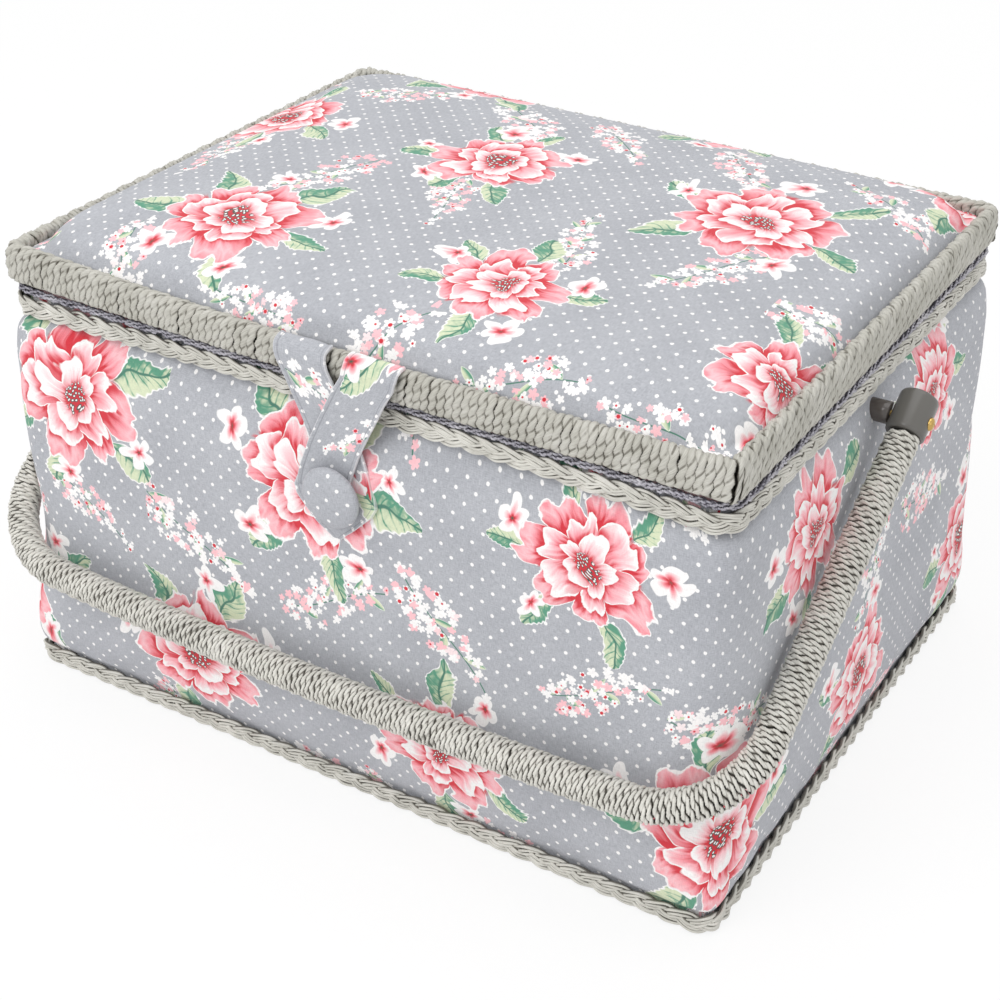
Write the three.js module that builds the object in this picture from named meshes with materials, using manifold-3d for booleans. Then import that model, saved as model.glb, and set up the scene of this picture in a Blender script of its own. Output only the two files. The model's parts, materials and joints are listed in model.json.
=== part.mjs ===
// Sewing box: a padded fabric case with plaited trims, a hinged lid in a cord-wound rim,
// a cloth loop closure and a cord-wound swing handle.
// Millimetres, +Z up. The origin is the centre of the flat underside, and -Y is the button side.
import * as THREE from "three";
import { mergeVertices } from "three/addons/utils/BufferGeometryUtils.js";
import Module from "manifold-3d";

const wasm = await Module();
wasm.setup();

// Overall sizes
const rimWidth = 311;
const rimDepth = 240;
const rimHeight = 15.8;
const crownRise = 11.5;

// Clearances
const gap = 0.3;
const runningGap = 0.3;
const overrun = 2;

// Case panels
const boardThickness = 4;
const rimOverhangX = 6.5;
const rimOverhangY = 5.5;
const caseCornerRadius = 10.5;
const undersideThickness = 1.6;
const mouthFrameHeight = 9.7;
const caseHeight = 172.7;
const liningThickness = 1.2;
const floorLiningThickness = 2;

// Padded cover
const padMouthThickness = 1.3;
const padFootThickness = 8.2;
const padFullness = 5;
const frontCrown = 2.2;
const sideCrown = 1;
const padMouthRadius = 6.5;
const padFootRadius = 5;
const padSofteningShare = 0.2;
const pressedRadius = 8;
const pressedHeight = 68;
const pressedReach = 26;
const pivotDimpleShare = 0.3;
const pivotDimpleRadius = 18;

// Plaited trims
const baseBraidHeight = 8.6;
const baseBraidThickness = 3;
const mouthBraidHeight = 9.2;
const mouthBraidThickness = 3.4;
const mouthCordDiameter = 3;
const mouthCordInset = 2.4;
const mouthCordRadius = 8;

// Lid
const rimCordThickness = 1.65;
const rimBandWidth = 6.5;
const rimCornerRadius = 5;
const rimGrooveDepth = 0.7;
const railTopRoom = 0.9;
const frontWraps = 26;
const sideWraps = 18;
const lidBoardThickness = 3;
const lidBoardLift = 1.8;
const lidCornerRadius = 5;
const lidPadSide = 7.3;
const lidLiningThickness = 1.1;

// Hinges
const hingeSpacing = 170;
const hingeLength = 26;
const hingeCentreGap = 0.25;
const leafThickness = 0.8;
const leafDepth = 12;
const knuckleRadius = 1.9;
const hingePinRadius = 0.9;
const hingeStandOff = 1.5;

// Handle
const pivotDrop = 17.2;
const armClearance = 0.4;
const handleReach = 169.5;
const bendRadius = 38;
const bowAngle = THREE.MathUtils.degToRad(2.5);
const handleRadius = 6.3;
const handleGrooveDepth = 0.8;
const coreRadius = 4;
const handleWraps = 84;
const capRadius = 7.4;
const capAbove = 9.5;
const capBelow = 7;
const capEdgeRadius = 2.2;
const socketStart = 3.2;
const rivetRadius = 1.5;
const rivetHeadRadius = 2.6;
const rivetHeadHeight = 1.8;
const rivetRecess = 1.8;
const spacerRadius = 4.5;
const spacerSeat = 2.5;
const washerRadius = 6;
const washerThickness = 1.2;
const rivetTailRadius = 3;
const rivetTailHeight = 1.2;
const rivetTailFlatShare = 0.7;

// Button and cloth loop
const buttonX = 5;
const buttonDrop = 25.7;
const buttonRadius = 12.3;
const buttonThickness = 6;
const buttonEdgeShare = 0.25;
const shankRadius = 2;
const strapX = 3.7;
const strapWidth = 22;
const strapThickness = 1.5;
const strapTip = 20;
const strapTopSpread = 28;
const strapPointWidth = 35.4;
const eyeRadius = 3.6;

// Tray
const trayEndClearance = 3.5;
const fingerRoom = 21;
const trayHeight = 40;
const trayTaper = 1;
const trayWall = 1.6;
const trayFloor = 1.6;
const trayCornerRadius = 8;
const cellCornerRadius = 4;
const ledgeDrop = 66.7;
const ledgeHeight = 8;
const ledgeWidth = 10;
const ledgeEndGap = 14;

// Lid inside
const fittingInset = 26;
const fittingSpace = 39;
const pincushionWidth = 58;
const pincushionHeight = 9;
const pincushionY = -30;
const pocketLengthShare = 0.583;
const pocketWidth = 92;
const pocketThickness = 3.4;
const pocketY = -18;
const fittingCornerRadius = 9;

// Facet counts
const cornerSteps = 4;
const padFaceSteps = 6;
const roundSteps = 20;
const wrapSides = 8;
const cordSides = 8;
const foldSteps = 40;

// Colours
const looks = {
  fabric: { color: 0xb4b6bb, roughness: 0.9, metalness: 0 },
  cord: { color: 0xbdb9aa, roughness: 0.8, metalness: 0 },
  board: { color: 0xb79a72, roughness: 0.9, metalness: 0 },
  paper: { color: 0xd9d4c8, roughness: 0.9, metalness: 0 },
  lining: { color: 0xe9c3c8, roughness: 0.6, metalness: 0 },
  capPlastic: { color: 0x7a7973, roughness: 0.45, metalness: 0 },
  trayPlastic: { color: 0xe8e6e2, roughness: 0.35, metalness: 0 },
  brass: { color: 0xc9a24c, roughness: 0.3, metalness: 1 },
  steel: { color: 0xb8b8b8, roughness: 0.35, metalness: 1 },
};

// Derived sizes
const rimHalfX = rimWidth / 2;
const rimHalfY = rimDepth / 2;
const caseHalfX = rimHalfX - rimOverhangX;
const caseHalfY = rimHalfY - rimOverhangY;
const rimBottom = caseHeight + gap + mouthCordDiameter + gap;
const rimTop = rimBottom + rimHeight;
const boardBottom = undersideThickness + gap + boardThickness + gap;
const baseBoardBottom = undersideThickness + gap;
const boardTop = caseHeight - mouthFrameHeight - gap;
const innerHalfX = caseHalfX - boardThickness;
const innerHalfY = caseHalfY - boardThickness;
const innerCornerRadius = caseCornerRadius - boardThickness;
const padInnerHalfX = caseHalfX + gap;
const padInnerHalfY = caseHalfY + gap;
const padMouthHalfX = caseHalfX + padMouthThickness;
const padMouthHalfY = caseHalfY + padMouthThickness;
const padFootHalfX = caseHalfX + padFootThickness;
const padFootHalfY = caseHalfY + padFootThickness;
const padTop = caseHeight - gap;
const pivotHeight = caseHeight - pivotDrop;
const buttonHeight = padTop - mouthBraidHeight - buttonDrop;
const roomHalfX = innerHalfX - gap - liningThickness;
const roomHalfY = innerHalfY - gap - liningThickness;
const railThickness = rimBandWidth - (rimCordThickness + gap) * 2;
const railHeight = rimHeight - (rimCordThickness + gap) * 2 - railTopRoom;

// Geometry from points and triangles, with its faces turned outward
function closedGeometry(points, triangles) {
  let volume = 0;
  const a = new THREE.Vector3();
  const b = new THREE.Vector3();
  const c = new THREE.Vector3();
  for (let i = 0; i < triangles.length; i += 3) {
    a.fromArray(points[triangles[i]]);
    b.fromArray(points[triangles[i + 1]]);
    c.fromArray(points[triangles[i + 2]]);
    volume += a.dot(b.cross(c));
  }
  const order = volume < 0 ? [0, 2, 1] : [0, 1, 2];
  const index = [];
  for (let i = 0; i < triangles.length; i += 3) {
    for (const k of order) index.push(triangles[i + k]);
  }
  const geometry = new THREE.BufferGeometry();
  geometry.setAttribute("position", new THREE.Float32BufferAttribute(points.flat(), 3));
  geometry.setIndex(index);
  return geometry;
}

// A stock geometry with its shared vertices merged and its empty triangles dropped
function merged(stock) {
  const geometry = stock.clone();
  geometry.deleteAttribute("normal");
  geometry.deleteAttribute("uv");
  const whole = mergeVertices(geometry);
  const index = whole.index.array;
  const kept = [];
  for (let i = 0; i < index.length; i += 3) {
    const [p, q, r] = [index[i], index[i + 1], index[i + 2]];
    if (p !== q && q !== r && r !== p) kept.push(p, q, r);
  }
  whole.setIndex(kept);
  return whole;
}

function solidOf(geometry) {
  const whole = merged(geometry);
  const vertProperties = new Float32Array(whole.attributes.position.array);
  const triVerts = new Uint32Array(whole.index.array);
  return new wasm.Manifold(new wasm.Mesh({ numProp: 3, vertProperties, triVerts }));
}

function geometryOf(solid) {
  const mesh = solid.getMesh();
  const geometry = new THREE.BufferGeometry();
  geometry.setAttribute("position", new THREE.BufferAttribute(new Float32Array(mesh.vertProperties), 3));
  geometry.setIndex(new THREE.BufferAttribute(new Uint32Array(mesh.triVerts), 1));
  return geometry;
}

function cut(geometry, ...tools) {
  return geometryOf(tools.reduce((solid, tool) => solid.subtract(solidOf(tool)), solidOf(geometry)));
}

function join(...geometries) {
  const [first, ...rest] = geometries.map(solidOf);
  return geometryOf(rest.reduce((solid, other) => solid.add(other), first));
}

// Skin over rings of equal length: "open" fans its two ends shut, "closed" runs back to the first ring
function skin(rings, ends) {
  const count = rings[0].length;
  const points = rings.flat();
  const triangles = [];
  const steps = ends === "closed" ? rings.length : rings.length - 1;
  for (let k = 0; k < steps; k += 1) {
    const low = k * count;
    const high = ((k + 1) % rings.length) * count;
    for (let i = 0; i < count; i += 1) {
      const j = (i + 1) % count;
      triangles.push(low + i, low + j, high + j, low + i, high + j, high + i);
    }
  }
  if (ends === "open") {
    for (const [ring, flip] of [[0, true], [rings.length - 1, false]]) {
      const centre = [0, 1, 2].map((axis) => rings[ring].reduce((sum, p) => sum + p[axis], 0) / count);
      const tip = points.push(centre) - 1;
      for (let i = 0; i < count; i += 1) {
        const here = ring * count + i;
        const next = ring * count + ((i + 1) % count);
        triangles.push(...(flip ? [tip, next, here] : [tip, here, next]));
      }
    }
  }
  return closedGeometry(points, triangles);
}

// Rounded rectangle, anticlockwise, as [x, y, share along a front face, share along a side face]
function roundedLoop(halfX, halfY, radius, faceSteps = 1, frontRadius = radius) {
  const quarters = [[1, -1], [1, 1], [-1, 1], [-1, -1]];
  const corners = quarters.map(([signX, signY], quarter) => {
    const round = signY < 0 ? frontRadius : radius;
    const corner = [];
    for (let k = 0; k <= cornerSteps; k += 1) {
      const angle = ((quarter - 1 + k / cornerSteps) * Math.PI) / 2;
      const x = signX * (halfX - round) + round * Math.cos(angle);
      const y = signY * (halfY - round) + round * Math.sin(angle);
      corner.push([x, y, 1, 1]);
    }
    return corner;
  });
  return corners.flatMap((corner, quarter) => {
    const [fromX, fromY] = corner.at(-1);
    const [toX, toY] = corners[(quarter + 1) % corners.length][0];
    const face = [];
    for (let k = 1; k < faceSteps; k += 1) {
      const x = THREE.MathUtils.lerp(fromX, toX, k / faceSteps);
      const y = THREE.MathUtils.lerp(fromY, toY, k / faceSteps);
      const share = (2 * k) / faceSteps - 1;
      face.push(quarter % 2 === 0 ? [x, y, 1, share] : [x, y, share, 1]);
    }
    return [...corner, ...face];
  });
}

const flatRing = (loop, z) => loop.map(([x, y]) => [x, y, z]);

// Straight-sided tube with a rounded rectangular plan
function band(outerX, outerY, outerRadius, innerX, innerY, innerRadius, bottom, top) {
  const outer = roundedLoop(outerX, outerY, outerRadius);
  const inner = roundedLoop(innerX, innerY, innerRadius);
  const outside = [flatRing(outer, bottom), flatRing(outer, top)];
  const inside = [flatRing(inner, top), flatRing(inner, bottom)];
  return skin([...outside, ...inside], "closed");
}

function plate(halfX, halfY, radius, bottom, top) {
  const loop = roundedLoop(halfX, halfY, radius);
  return skin([flatRing(loop, bottom), flatRing(loop, top)], "open");
}

function block(lowX, highX, lowY, highY, lowZ, highZ) {
  const box = new THREE.BoxGeometry(highX - lowX, highY - lowY, highZ - lowZ);
  return box.translate((lowX + highX) / 2, (lowY + highY) / 2, (lowZ + highZ) / 2);
}

// Cylinder along X between two places
function rod(radius, lowX, highX, y, z, sides = roundSteps) {
  const cylinder = new THREE.CylinderGeometry(radius, radius, Math.abs(highX - lowX), sides);
  return cylinder.rotateZ(-Math.PI / 2).translate((lowX + highX) / 2, y, z);
}

// Trim swept round a rounded rectangle: its section is given as [outward, up] pairs
function trim(halfX, halfY, radius, section) {
  const path = roundedLoop(halfX, halfY, radius);
  const rings = path.map(([x, y]) => {
    const centreX = THREE.MathUtils.clamp(x, -(halfX - radius), halfX - radius);
    const centreY = THREE.MathUtils.clamp(y, -(halfY - radius), halfY - radius);
    const reach = Math.hypot(x - centreX, y - centreY);
    const outX = (x - centreX) / reach;
    const outY = (y - centreY) / reach;
    return section.map(([out, up]) => [x + outX * out, y + outY * out, up]);
  });
  return skin(rings, "closed");
}

const parts = [];

function add(name, geometry, look) {
  const mesh = new THREE.Mesh(merged(geometry), new THREE.MeshStandardMaterial(looks[look]));
  mesh.name = name;
  parts.push(mesh);
}

// Case panels
function addCase() {
  const bottomSheet = plate(padFootHalfX - gap, padFootHalfY - gap, padFootRadius, 0, undersideThickness);
  add("underside", bottomSheet, "paper");
  const baseTop = baseBoardBottom + boardThickness;
  add("base_board", plate(caseHalfX, caseHalfY, caseCornerRadius, baseBoardBottom, baseTop), "board");
  const faceX = caseHalfX - caseCornerRadius - gap / 2;
  const faceY = caseHalfY - caseCornerRadius - gap / 2;
  for (const [name, side] of [["front_board", -1], ["back_board", 1]]) {
    const [low, high] = [side * caseHalfY, side * innerHalfY].sort((p, q) => p - q);
    add(name, block(-faceX, faceX, low, high, boardBottom, boardTop), "board");
  }
  for (const [name, side] of [["left_board", -1], ["right_board", 1]]) {
    const [low, high] = [side * caseHalfX, side * innerHalfX].sort((p, q) => p - q);
    const board = block(low, high, -faceY, faceY, boardBottom, boardTop);
    const hole = rod(rivetRadius + runningGap, low - overrun, high + overrun, 0, pivotHeight);
    add(name, cut(board, hole), "board");
  }
  for (const [name, signX, signY] of [
    ["corner_front_left", -1, -1],
    ["corner_front_right", 1, -1],
    ["corner_back_right", 1, 1],
    ["corner_back_left", -1, 1],
  ]) {
    add(name, cornerPost(signX, signY), "board");
  }
  add(
    "mouth_frame",
    band(
      caseHalfX, caseHalfY, caseCornerRadius,
      roomHalfX, roomHalfY, innerCornerRadius - gap - liningThickness,
      caseHeight - mouthFrameHeight, caseHeight,
    ),
    "board",
  );
}

// A quarter of a bent board, between two flat boards
function cornerPost(signX, signY) {
  const outline = new THREE.Shape();
  const inset = gap / 2 / caseCornerRadius;
  outline.absarc(0, 0, caseCornerRadius, inset, Math.PI / 2 - inset, false);
  outline.absarc(0, 0, innerCornerRadius, Math.PI / 2 - inset * 2, inset * 2, true);
  const settings = { depth: boardTop - boardBottom, bevelEnabled: false, curveSegments: cornerSteps };
  const post = merged(new THREE.ExtrudeGeometry(outline, settings));
  const quarter = [[1, 1], [-1, 1], [-1, -1], [1, -1]].findIndex(([x, y]) => x === signX && y === signY);
  post.rotateZ((quarter * Math.PI) / 2);
  const centreX = signX * (caseHalfX - caseCornerRadius);
  const centreY = signY * (caseHalfY - caseCornerRadius);
  return post.translate(centreX, centreY, boardBottom);
}

// Padded cover: it swells between the two plaited trims, and fits straight behind each of them
const swellHeightShares = [0, 0.015, 0.05, 0.1, 0.22, 0.34, 0.43, 0.52, 0.63, 0.78, 0.9, 0.965, 0.99, 1];
const swellFullnessShares = [0, 0.5, 0.72, 0.78, 0.79, 0.82, 0.84, 0.86, 0.89, 0.98, 1, 0.86, 0.48, 0];
const swellCrownShares = [0, 0.1, 0.3, 0.6, 1, 1, 1, 1, 0.98, 0.9, 0.75, 0.5, 0.15, 0];
const padBottom = baseBoardBottom;
const swellBottom = baseBraidHeight + gap;
const swellTop = padTop - mouthBraidHeight - gap;
const padHeights = [
  padBottom,
  ...swellHeightShares.map((share) => THREE.MathUtils.lerp(swellBottom, swellTop, share)),
  padTop,
];
const padFullnesses = [0, ...swellFullnessShares.map((share) => padFullness * share), 0];
const padCrowns = [0, ...swellCrownShares, 0];

function padSizeAt(station) {
  const z = padHeights[station];
  const climb = THREE.MathUtils.clamp((z - swellBottom) / (swellTop - swellBottom), 0, 1);
  const full = padFullnesses[station];
  const radius = THREE.MathUtils.lerp(padFootRadius, padMouthRadius, climb) + full * padSofteningShare;
  return {
    z,
    halfX: THREE.MathUtils.lerp(padFootHalfX, padMouthHalfX, climb) + full,
    halfY: THREE.MathUtils.lerp(padFootHalfY, padMouthHalfY, climb) + full,
    radius,
    frontRadius: radius + pressedRadius * Math.exp(-(((z - pressedHeight) / pressedReach) ** 2)),
    crown: padCrowns[station],
    full,
  };
}

// The cover's size at any height
function padSizeNear(z) {
  const next = Math.max(1, padHeights.findIndex((height) => height >= z));
  const low = padSizeAt(next - 1);
  const high = padSizeAt(next);
  const mix = (z - low.z) / (high.z - low.z);
  const size = {};
  for (const key of Object.keys(low)) size[key] = THREE.MathUtils.lerp(low[key], high[key], mix);
  return size;
}

// How far the middle of the cover's front stands out at a height
function padFrontAt(z) {
  const size = padSizeNear(z);
  return size.halfY + frontCrown * size.crown;
}

const padFrontMost = Math.max(...padHeights.map(padFrontAt));
const padSideMost = Math.max(...padHeights.map((z, k) => padSizeAt(k).halfX + sideCrown * padCrowns[k]));
const armX = padSideMost + armClearance + handleRadius;

function addPaddedCover() {
  const outer = padHeights.map((height, station) => {
    const size = padSizeAt(station);
    const loop = roundedLoop(size.halfX, size.halfY, size.radius, padFaceSteps, size.frontRadius);
    return loop.map(([x, y, frontShare, sideShare]) => {
      const bulgeY = frontCrown * size.crown * (1 - frontShare ** 2);
      const bulgeX = sideCrown * size.crown * (1 - sideShare ** 2);
      const onSide = Math.abs(sideShare) < 1;
      const away = Math.hypot(y, size.z - pivotHeight) / pivotDimpleRadius;
      const dimple = onSide ? pivotDimpleShare * size.full * Math.exp(-(away ** 2)) : 0;
      return [x + Math.sign(x) * (bulgeX - dimple), y + Math.sign(y) * bulgeY, size.z];
    });
  });
  const innerLoop = roundedLoop(padInnerHalfX, padInnerHalfY, caseCornerRadius + gap, padFaceSteps);
  const rings = [...outer, flatRing(innerLoop, padTop), flatRing(innerLoop, padBottom)];
  const holes = [-1, 1].flatMap((side) => {
    const inside = side * innerHalfX;
    const outside = side * (armX + capRadius);
    const seat = side * (caseHalfX + spacerSeat - gap);
    return [
      rod(rivetRadius + runningGap, Math.min(inside, outside), Math.max(inside, outside), 0, pivotHeight),
      rod(spacerRadius + gap, Math.min(seat, outside), Math.max(seat, outside), 0, pivotHeight),
    ];
  });
  add("body_cover", cut(skin(rings, "closed"), ...holes), "fabric");
}

function addLinings() {
  const outerX = innerHalfX - gap;
  const outerY = innerHalfY - gap;
  const outerRadius = innerCornerRadius - gap;
  const floorTop = boardBottom + floorLiningThickness;
  add("floor_lining", plate(outerX, outerY, outerRadius, boardBottom, floorTop), "lining");
  const wall = band(
    outerX, outerY, outerRadius,
    outerX - liningThickness, outerY - liningThickness, outerRadius - liningThickness,
    floorTop + gap, boardTop,
  );
  const holes = [-1, 1].map((side) => {
    const inside = outerX - liningThickness - overrun;
    const [low, high] = [side * inside, side * (outerX + overrun)].sort((p, q) => p - q);
    return rod(rivetRadius + runningGap, low, high, 0, pivotHeight);
  });
  add("wall_lining", cut(wall, ...holes), "lining");
}

// Sections of the plaited trims, as shares of half a trim's thickness and of its height
const footOutShares = [-1, 0.9, 1, 1, 0.5, -1];
const footUpShares = [0, 0, 0.15, 0.75, 1, 1];
const mouthOutShares = [-1, 0.4, 1, 1, 0.5, -1];
const mouthUpShares = [0, 0, 0.25, 0.8, 1, 1];

// Plaited trims, kept as their swept outline
function addTrims() {
  const half = baseBraidThickness / 2;
  const footX = padFootHalfX + gap + half;
  const footY = padFootHalfY + gap + half;
  const footSection = footOutShares.map((share, k) => [half * share, baseBraidHeight * footUpShares[k]]);
  add("base_braid", trim(footX, footY, padFootRadius + gap + half, footSection), "cord");

  const thick = mouthBraidThickness / 2;
  const middleX = padMouthHalfX + gap + thick;
  const middleY = padMouthHalfY + gap + thick;
  const low = padTop - mouthBraidHeight;
  const mouthUps = mouthUpShares.map((share) => low + mouthBraidHeight * share);
  const mouthSection = mouthOutShares.map((share, k) => [thick * share, mouthUps[k]]);
  add("mouth_braid", trim(middleX, middleY, padMouthRadius + gap + thick, mouthSection), "cord");

  // The mouth cord runs from one hinge round the front to the other, and between the hinges
  const cordX = rimHalfX - mouthCordInset;
  const cordY = rimHalfY - mouthCordInset;
  const cordZ = rimBottom - gap - mouthCordDiameter / 2;
  const hingeEdge = hingeLength / 2 + gap;
  const loop = roundedLoop(cordX, cordY, mouthCordRadius).map(([x, y]) => new THREE.Vector2(x, y));
  const backRight = new THREE.Vector2(hingeSpacing / 2 + hingeEdge, cordY);
  const backLeft = new THREE.Vector2(-hingeSpacing / 2 - hingeEdge, cordY);
  const perCorner = cornerSteps + 1;
  const roundFront = [
    backLeft,
    ...loop.slice(perCorner * 2, perCorner * 4),
    ...loop.slice(0, perCorner * 2),
    backRight,
  ];
  add("mouth_cord", cordAlong(roundFront, cordZ), "cord");
  const between = hingeSpacing / 2 - hingeEdge;
  const straight = [new THREE.Vector2(-between, cordY), new THREE.Vector2(between, cordY)];
  add("mouth_cord_back", cordAlong(straight, cordZ), "cord");
}

// Round cord at one height along a plan path
function cordAlong(path, z) {
  const rings = path.map((point, k) => {
    const before = path[Math.max(0, k - 1)];
    const after = path[Math.min(path.length - 1, k + 1)];
    const ahead = after.clone().sub(before).normalize();
    const ring = [];
    for (let i = 0; i < cordSides; i += 1) {
      const angle = (2 * Math.PI * (i + 0.5)) / cordSides;
      const out = (mouthCordDiameter / 2) * Math.cos(angle);
      const up = (mouthCordDiameter / 2) * Math.sin(angle);
      ring.push([point.x - ahead.y * out, point.y + ahead.x * out, z + up]);
    }
    return ring;
  });
  return skin(rings, "open");
}

// Wound rim: each rail is a ribbed sleeve over a slat, mitred at the corners
const wrapDepthShares = [0.3, 0.09, 0, 0.11, 0.37, 0.68, 1, 1];
const wrapHeightShares = [0, 0.13, 0.6, 0.86, 1, 0.985, 0.84, 0];

function railPlan(length, cross, along, depthShare) {
  const straight = length - rimCornerRadius;
  const whole = straight + (rimCornerRadius * Math.PI) / 4;
  const travel = Math.abs(along) * whole;
  const turn = Math.max(0, travel - straight) / rimCornerRadius;
  const outerAlong = Math.min(travel, straight) + rimCornerRadius * Math.sin(turn);
  const outerAcross = cross - rimCornerRadius * (1 - Math.cos(turn));
  const innerAlong = Math.abs(along) * (length - rimBandWidth);
  const innerAcross = cross - rimBandWidth;
  const p = THREE.MathUtils.lerp(outerAlong, innerAlong, depthShare) * Math.sign(along);
  const q = THREE.MathUtils.lerp(outerAcross, innerAcross, depthShare);
  return [p, q];
}

function wrapRing(length, cross, along, groove) {
  const halfWidth = rimBandWidth / 2;
  const halfHeight = rimHeight / 2;
  return wrapDepthShares.map((depthShare, i) => {
    const offset = rimBandWidth * depthShare - halfWidth;
    const depth = halfWidth + offset * (1 - groove / halfWidth);
    const rise = rimHeight * wrapHeightShares[i] - halfHeight;
    const z = rimBottom + halfHeight + rise * (1 - groove / halfHeight);
    return [...railPlan(length, cross, along, depth / rimBandWidth), z];
  });
}

function slatSection(clearance) {
  const low = rimCordThickness + gap - clearance;
  const high = low + railThickness + clearance * 2;
  const bottom = rimBottom + rimCordThickness + gap - clearance;
  const top = bottom + railHeight + clearance * 2;
  return [
    [low, bottom], [low, (bottom + top) / 2], [low, top], [(low + high) / 2, top],
    [high, top], [high, (bottom + top) / 2], [high, bottom], [(low + high) / 2, bottom],
  ];
}

function addRail(name, length, cross, wraps, quarter) {
  const reach = 1 - gap / 2 / length;
  const outer = [];
  for (let k = 0; k < wraps; k += 1) {
    outer.push(wrapRing(length, cross, reach * ((2 * k) / wraps - 1), rimGrooveDepth));
    outer.push(wrapRing(length, cross, reach * ((2 * (k + 0.5)) / wraps - 1), 0));
  }
  outer.push(wrapRing(length, cross, reach, rimGrooveDepth));
  const endBore = (along) =>
    slatSection(gap).map(([depth, z]) => [...railPlan(length, cross, along, depth / rimBandWidth), z]);
  const slatHalf = length - rimBandWidth;
  const straightBore = (side) =>
    slatSection(gap).map(([depth, z]) => [side * (slatHalf + gap), cross - depth, z]);
  const bore = [endBore(reach), straightBore(1), straightBore(-1), endBore(-reach)];
  const turnRail = (geometry) => geometry.rotateZ((quarter * Math.PI) / 2);
  const forward = ([p, q, z]) => [p, -q, z];
  const sleeve = skin([...outer, ...bore].map((ring) => ring.map(forward)), "closed");
  add(`lid_wrap_${name}`, turnRail(sleeve), "cord");
  const slat = slatSection(0);
  const ends = [-1, 1].map((side) => slat.map(([depth, z]) => forward([side * slatHalf, cross - depth, z])));
  add(`lid_rail_${name}`, turnRail(skin(ends, "open")), "board");
}

// Crowned lid pad: rings run in from the edge
const padInsetShares = [0, 0.005, 0.022, 0.044, 0.075, 0.13, 0.27, 0.53, 0.85];
const padRiseShares = [0, 0.155, 0.4, 0.58, 0.69, 0.79, 0.89, 0.97, 1];
const padRoundingShare = 1.1;

function addLid() {
  addRail("front", rimHalfX, rimHalfY, frontWraps, 0);
  addRail("right", rimHalfY, rimHalfX, sideWraps, 1);
  addRail("back", rimHalfX, rimHalfY, frontWraps, 2);
  addRail("left", rimHalfY, rimHalfX, sideWraps, 3);
  const halfX = rimHalfX - rimBandWidth - gap;
  const halfY = rimHalfY - rimBandWidth - gap;
  const boardLow = rimBottom + lidBoardLift;
  const boardHigh = boardLow + lidBoardThickness;
  add("lid_board", plate(halfX, halfY, lidCornerRadius, boardLow, boardHigh), "board");
  const padLow = boardHigh + gap;
  const padEdge = padLow + lidPadSide;
  const rings = [flatRing(roundedLoop(halfX, halfY, lidCornerRadius, 2), padLow)];
  const lift = rimTop + crownRise - padEdge;
  padInsetShares.forEach((insetShare, k) => {
    const inset = insetShare * halfY;
    const radius = Math.min(lidCornerRadius + inset * padRoundingShare, halfY - inset);
    const loop = roundedLoop(halfX - inset, halfY - inset, radius, 2);
    rings.push(flatRing(loop, padEdge + lift * padRiseShares[k]));
  });
  add("lid_pad", skin(rings, "open"), "fabric");
  const liningTop = boardLow - gap;
  const liningLow = liningTop - lidLiningThickness;
  add("lid_lining", plate(halfX - gap, halfY - gap, lidCornerRadius, liningLow, liningTop), "lining");
  const fittingEdge = halfX - gap - fittingInset;
  const fittingLength = fittingEdge * 2 - fittingSpace;
  const pocketLength = fittingLength * pocketLengthShare;
  const pincushionLength = fittingLength - pocketLength;
  add("pincushion", cushionUnder(pincushionLength, pincushionWidth, pincushionHeight, liningLow - gap)
    .translate(fittingEdge - pincushionLength / 2, pincushionY, 0), "fabric");
  add("lid_pocket", cushionUnder(pocketLength, pocketWidth, pocketThickness, liningLow - gap)
    .translate(pocketLength / 2 - fittingEdge, pocketY, 0), "lining");
}

// Soft slab hanging under a flat face, rounded towards its lower side
const cushionInsetShares = [0.06, 0, 0.02, 0.12, 0.3, 0.6];
const cushionDropShares = [0, 0.25, 0.55, 0.82, 0.95, 1];
const cushionRoundingShare = 0.6;

function cushionUnder(length, width, height, top) {
  const rings = cushionInsetShares.map((insetShare, k) => {
    const inset = (insetShare * width) / 2;
    const radius = Math.max(fittingCornerRadius, inset * cushionRoundingShare);
    const loop = roundedLoop(length / 2 - inset, width / 2 - inset, Math.min(radius, width / 2 - inset), 2);
    return flatRing(loop, top - height * cushionDropShares[k]);
  });
  return skin(rings, "open");
}

// Two butt hinges behind the mouth, each with a pin
const hingeY = rimHalfY + hingeStandOff;
const boxLeafLow = caseHeight + gap;
const lidLeafHigh = rimBottom - gap;
const hingeZ = (boxLeafLow + lidLeafHigh) / 2;

function addHinges() {
  for (const [name, x] of [["left", -hingeSpacing / 2], ["right", hingeSpacing / 2]]) {
    const half = hingeLength / 2;
    const middle = half / 3;
    const leafEdge = hingeY - leafDepth;
    const bore = rod(hingePinRadius + runningGap / 2, x - half - overrun, x + half + overrun, hingeY, hingeZ);
    const boxLeaf = block(x - half, x + half, leafEdge, hingeY, boxLeafLow, boxLeafLow + leafThickness);
    const boxKnuckle = (from, to) => rod(knuckleRadius, x + from, x + to, hingeY, hingeZ);
    const roomFor = (from, to) => rod(knuckleRadius + gap, x + from, x + to, hingeY, hingeZ);
    const boxSide = join(
      cut(boxLeaf, roomFor(-middle - hingeCentreGap, middle + hingeCentreGap)),
      boxKnuckle(-half, -middle - hingeCentreGap),
      boxKnuckle(middle + hingeCentreGap, half),
    );
    add(`hinge_box_leaf_${name}`, cut(boxSide, bore), "brass");
    const lidLeaf = block(x - half, x + half, leafEdge, hingeY, lidLeafHigh - leafThickness, lidLeafHigh);
    const lidSide = join(
      cut(lidLeaf, roomFor(-half - overrun, -middle), roomFor(middle, half + overrun)),
      boxKnuckle(-middle, middle),
    );
    add(`hinge_lid_leaf_${name}`, cut(lidSide, bore), "brass");
    add(`hinge_pin_${name}`, rod(hingePinRadius, x - half, x + half, hingeY, hingeZ), "steel");
  }
}

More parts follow.
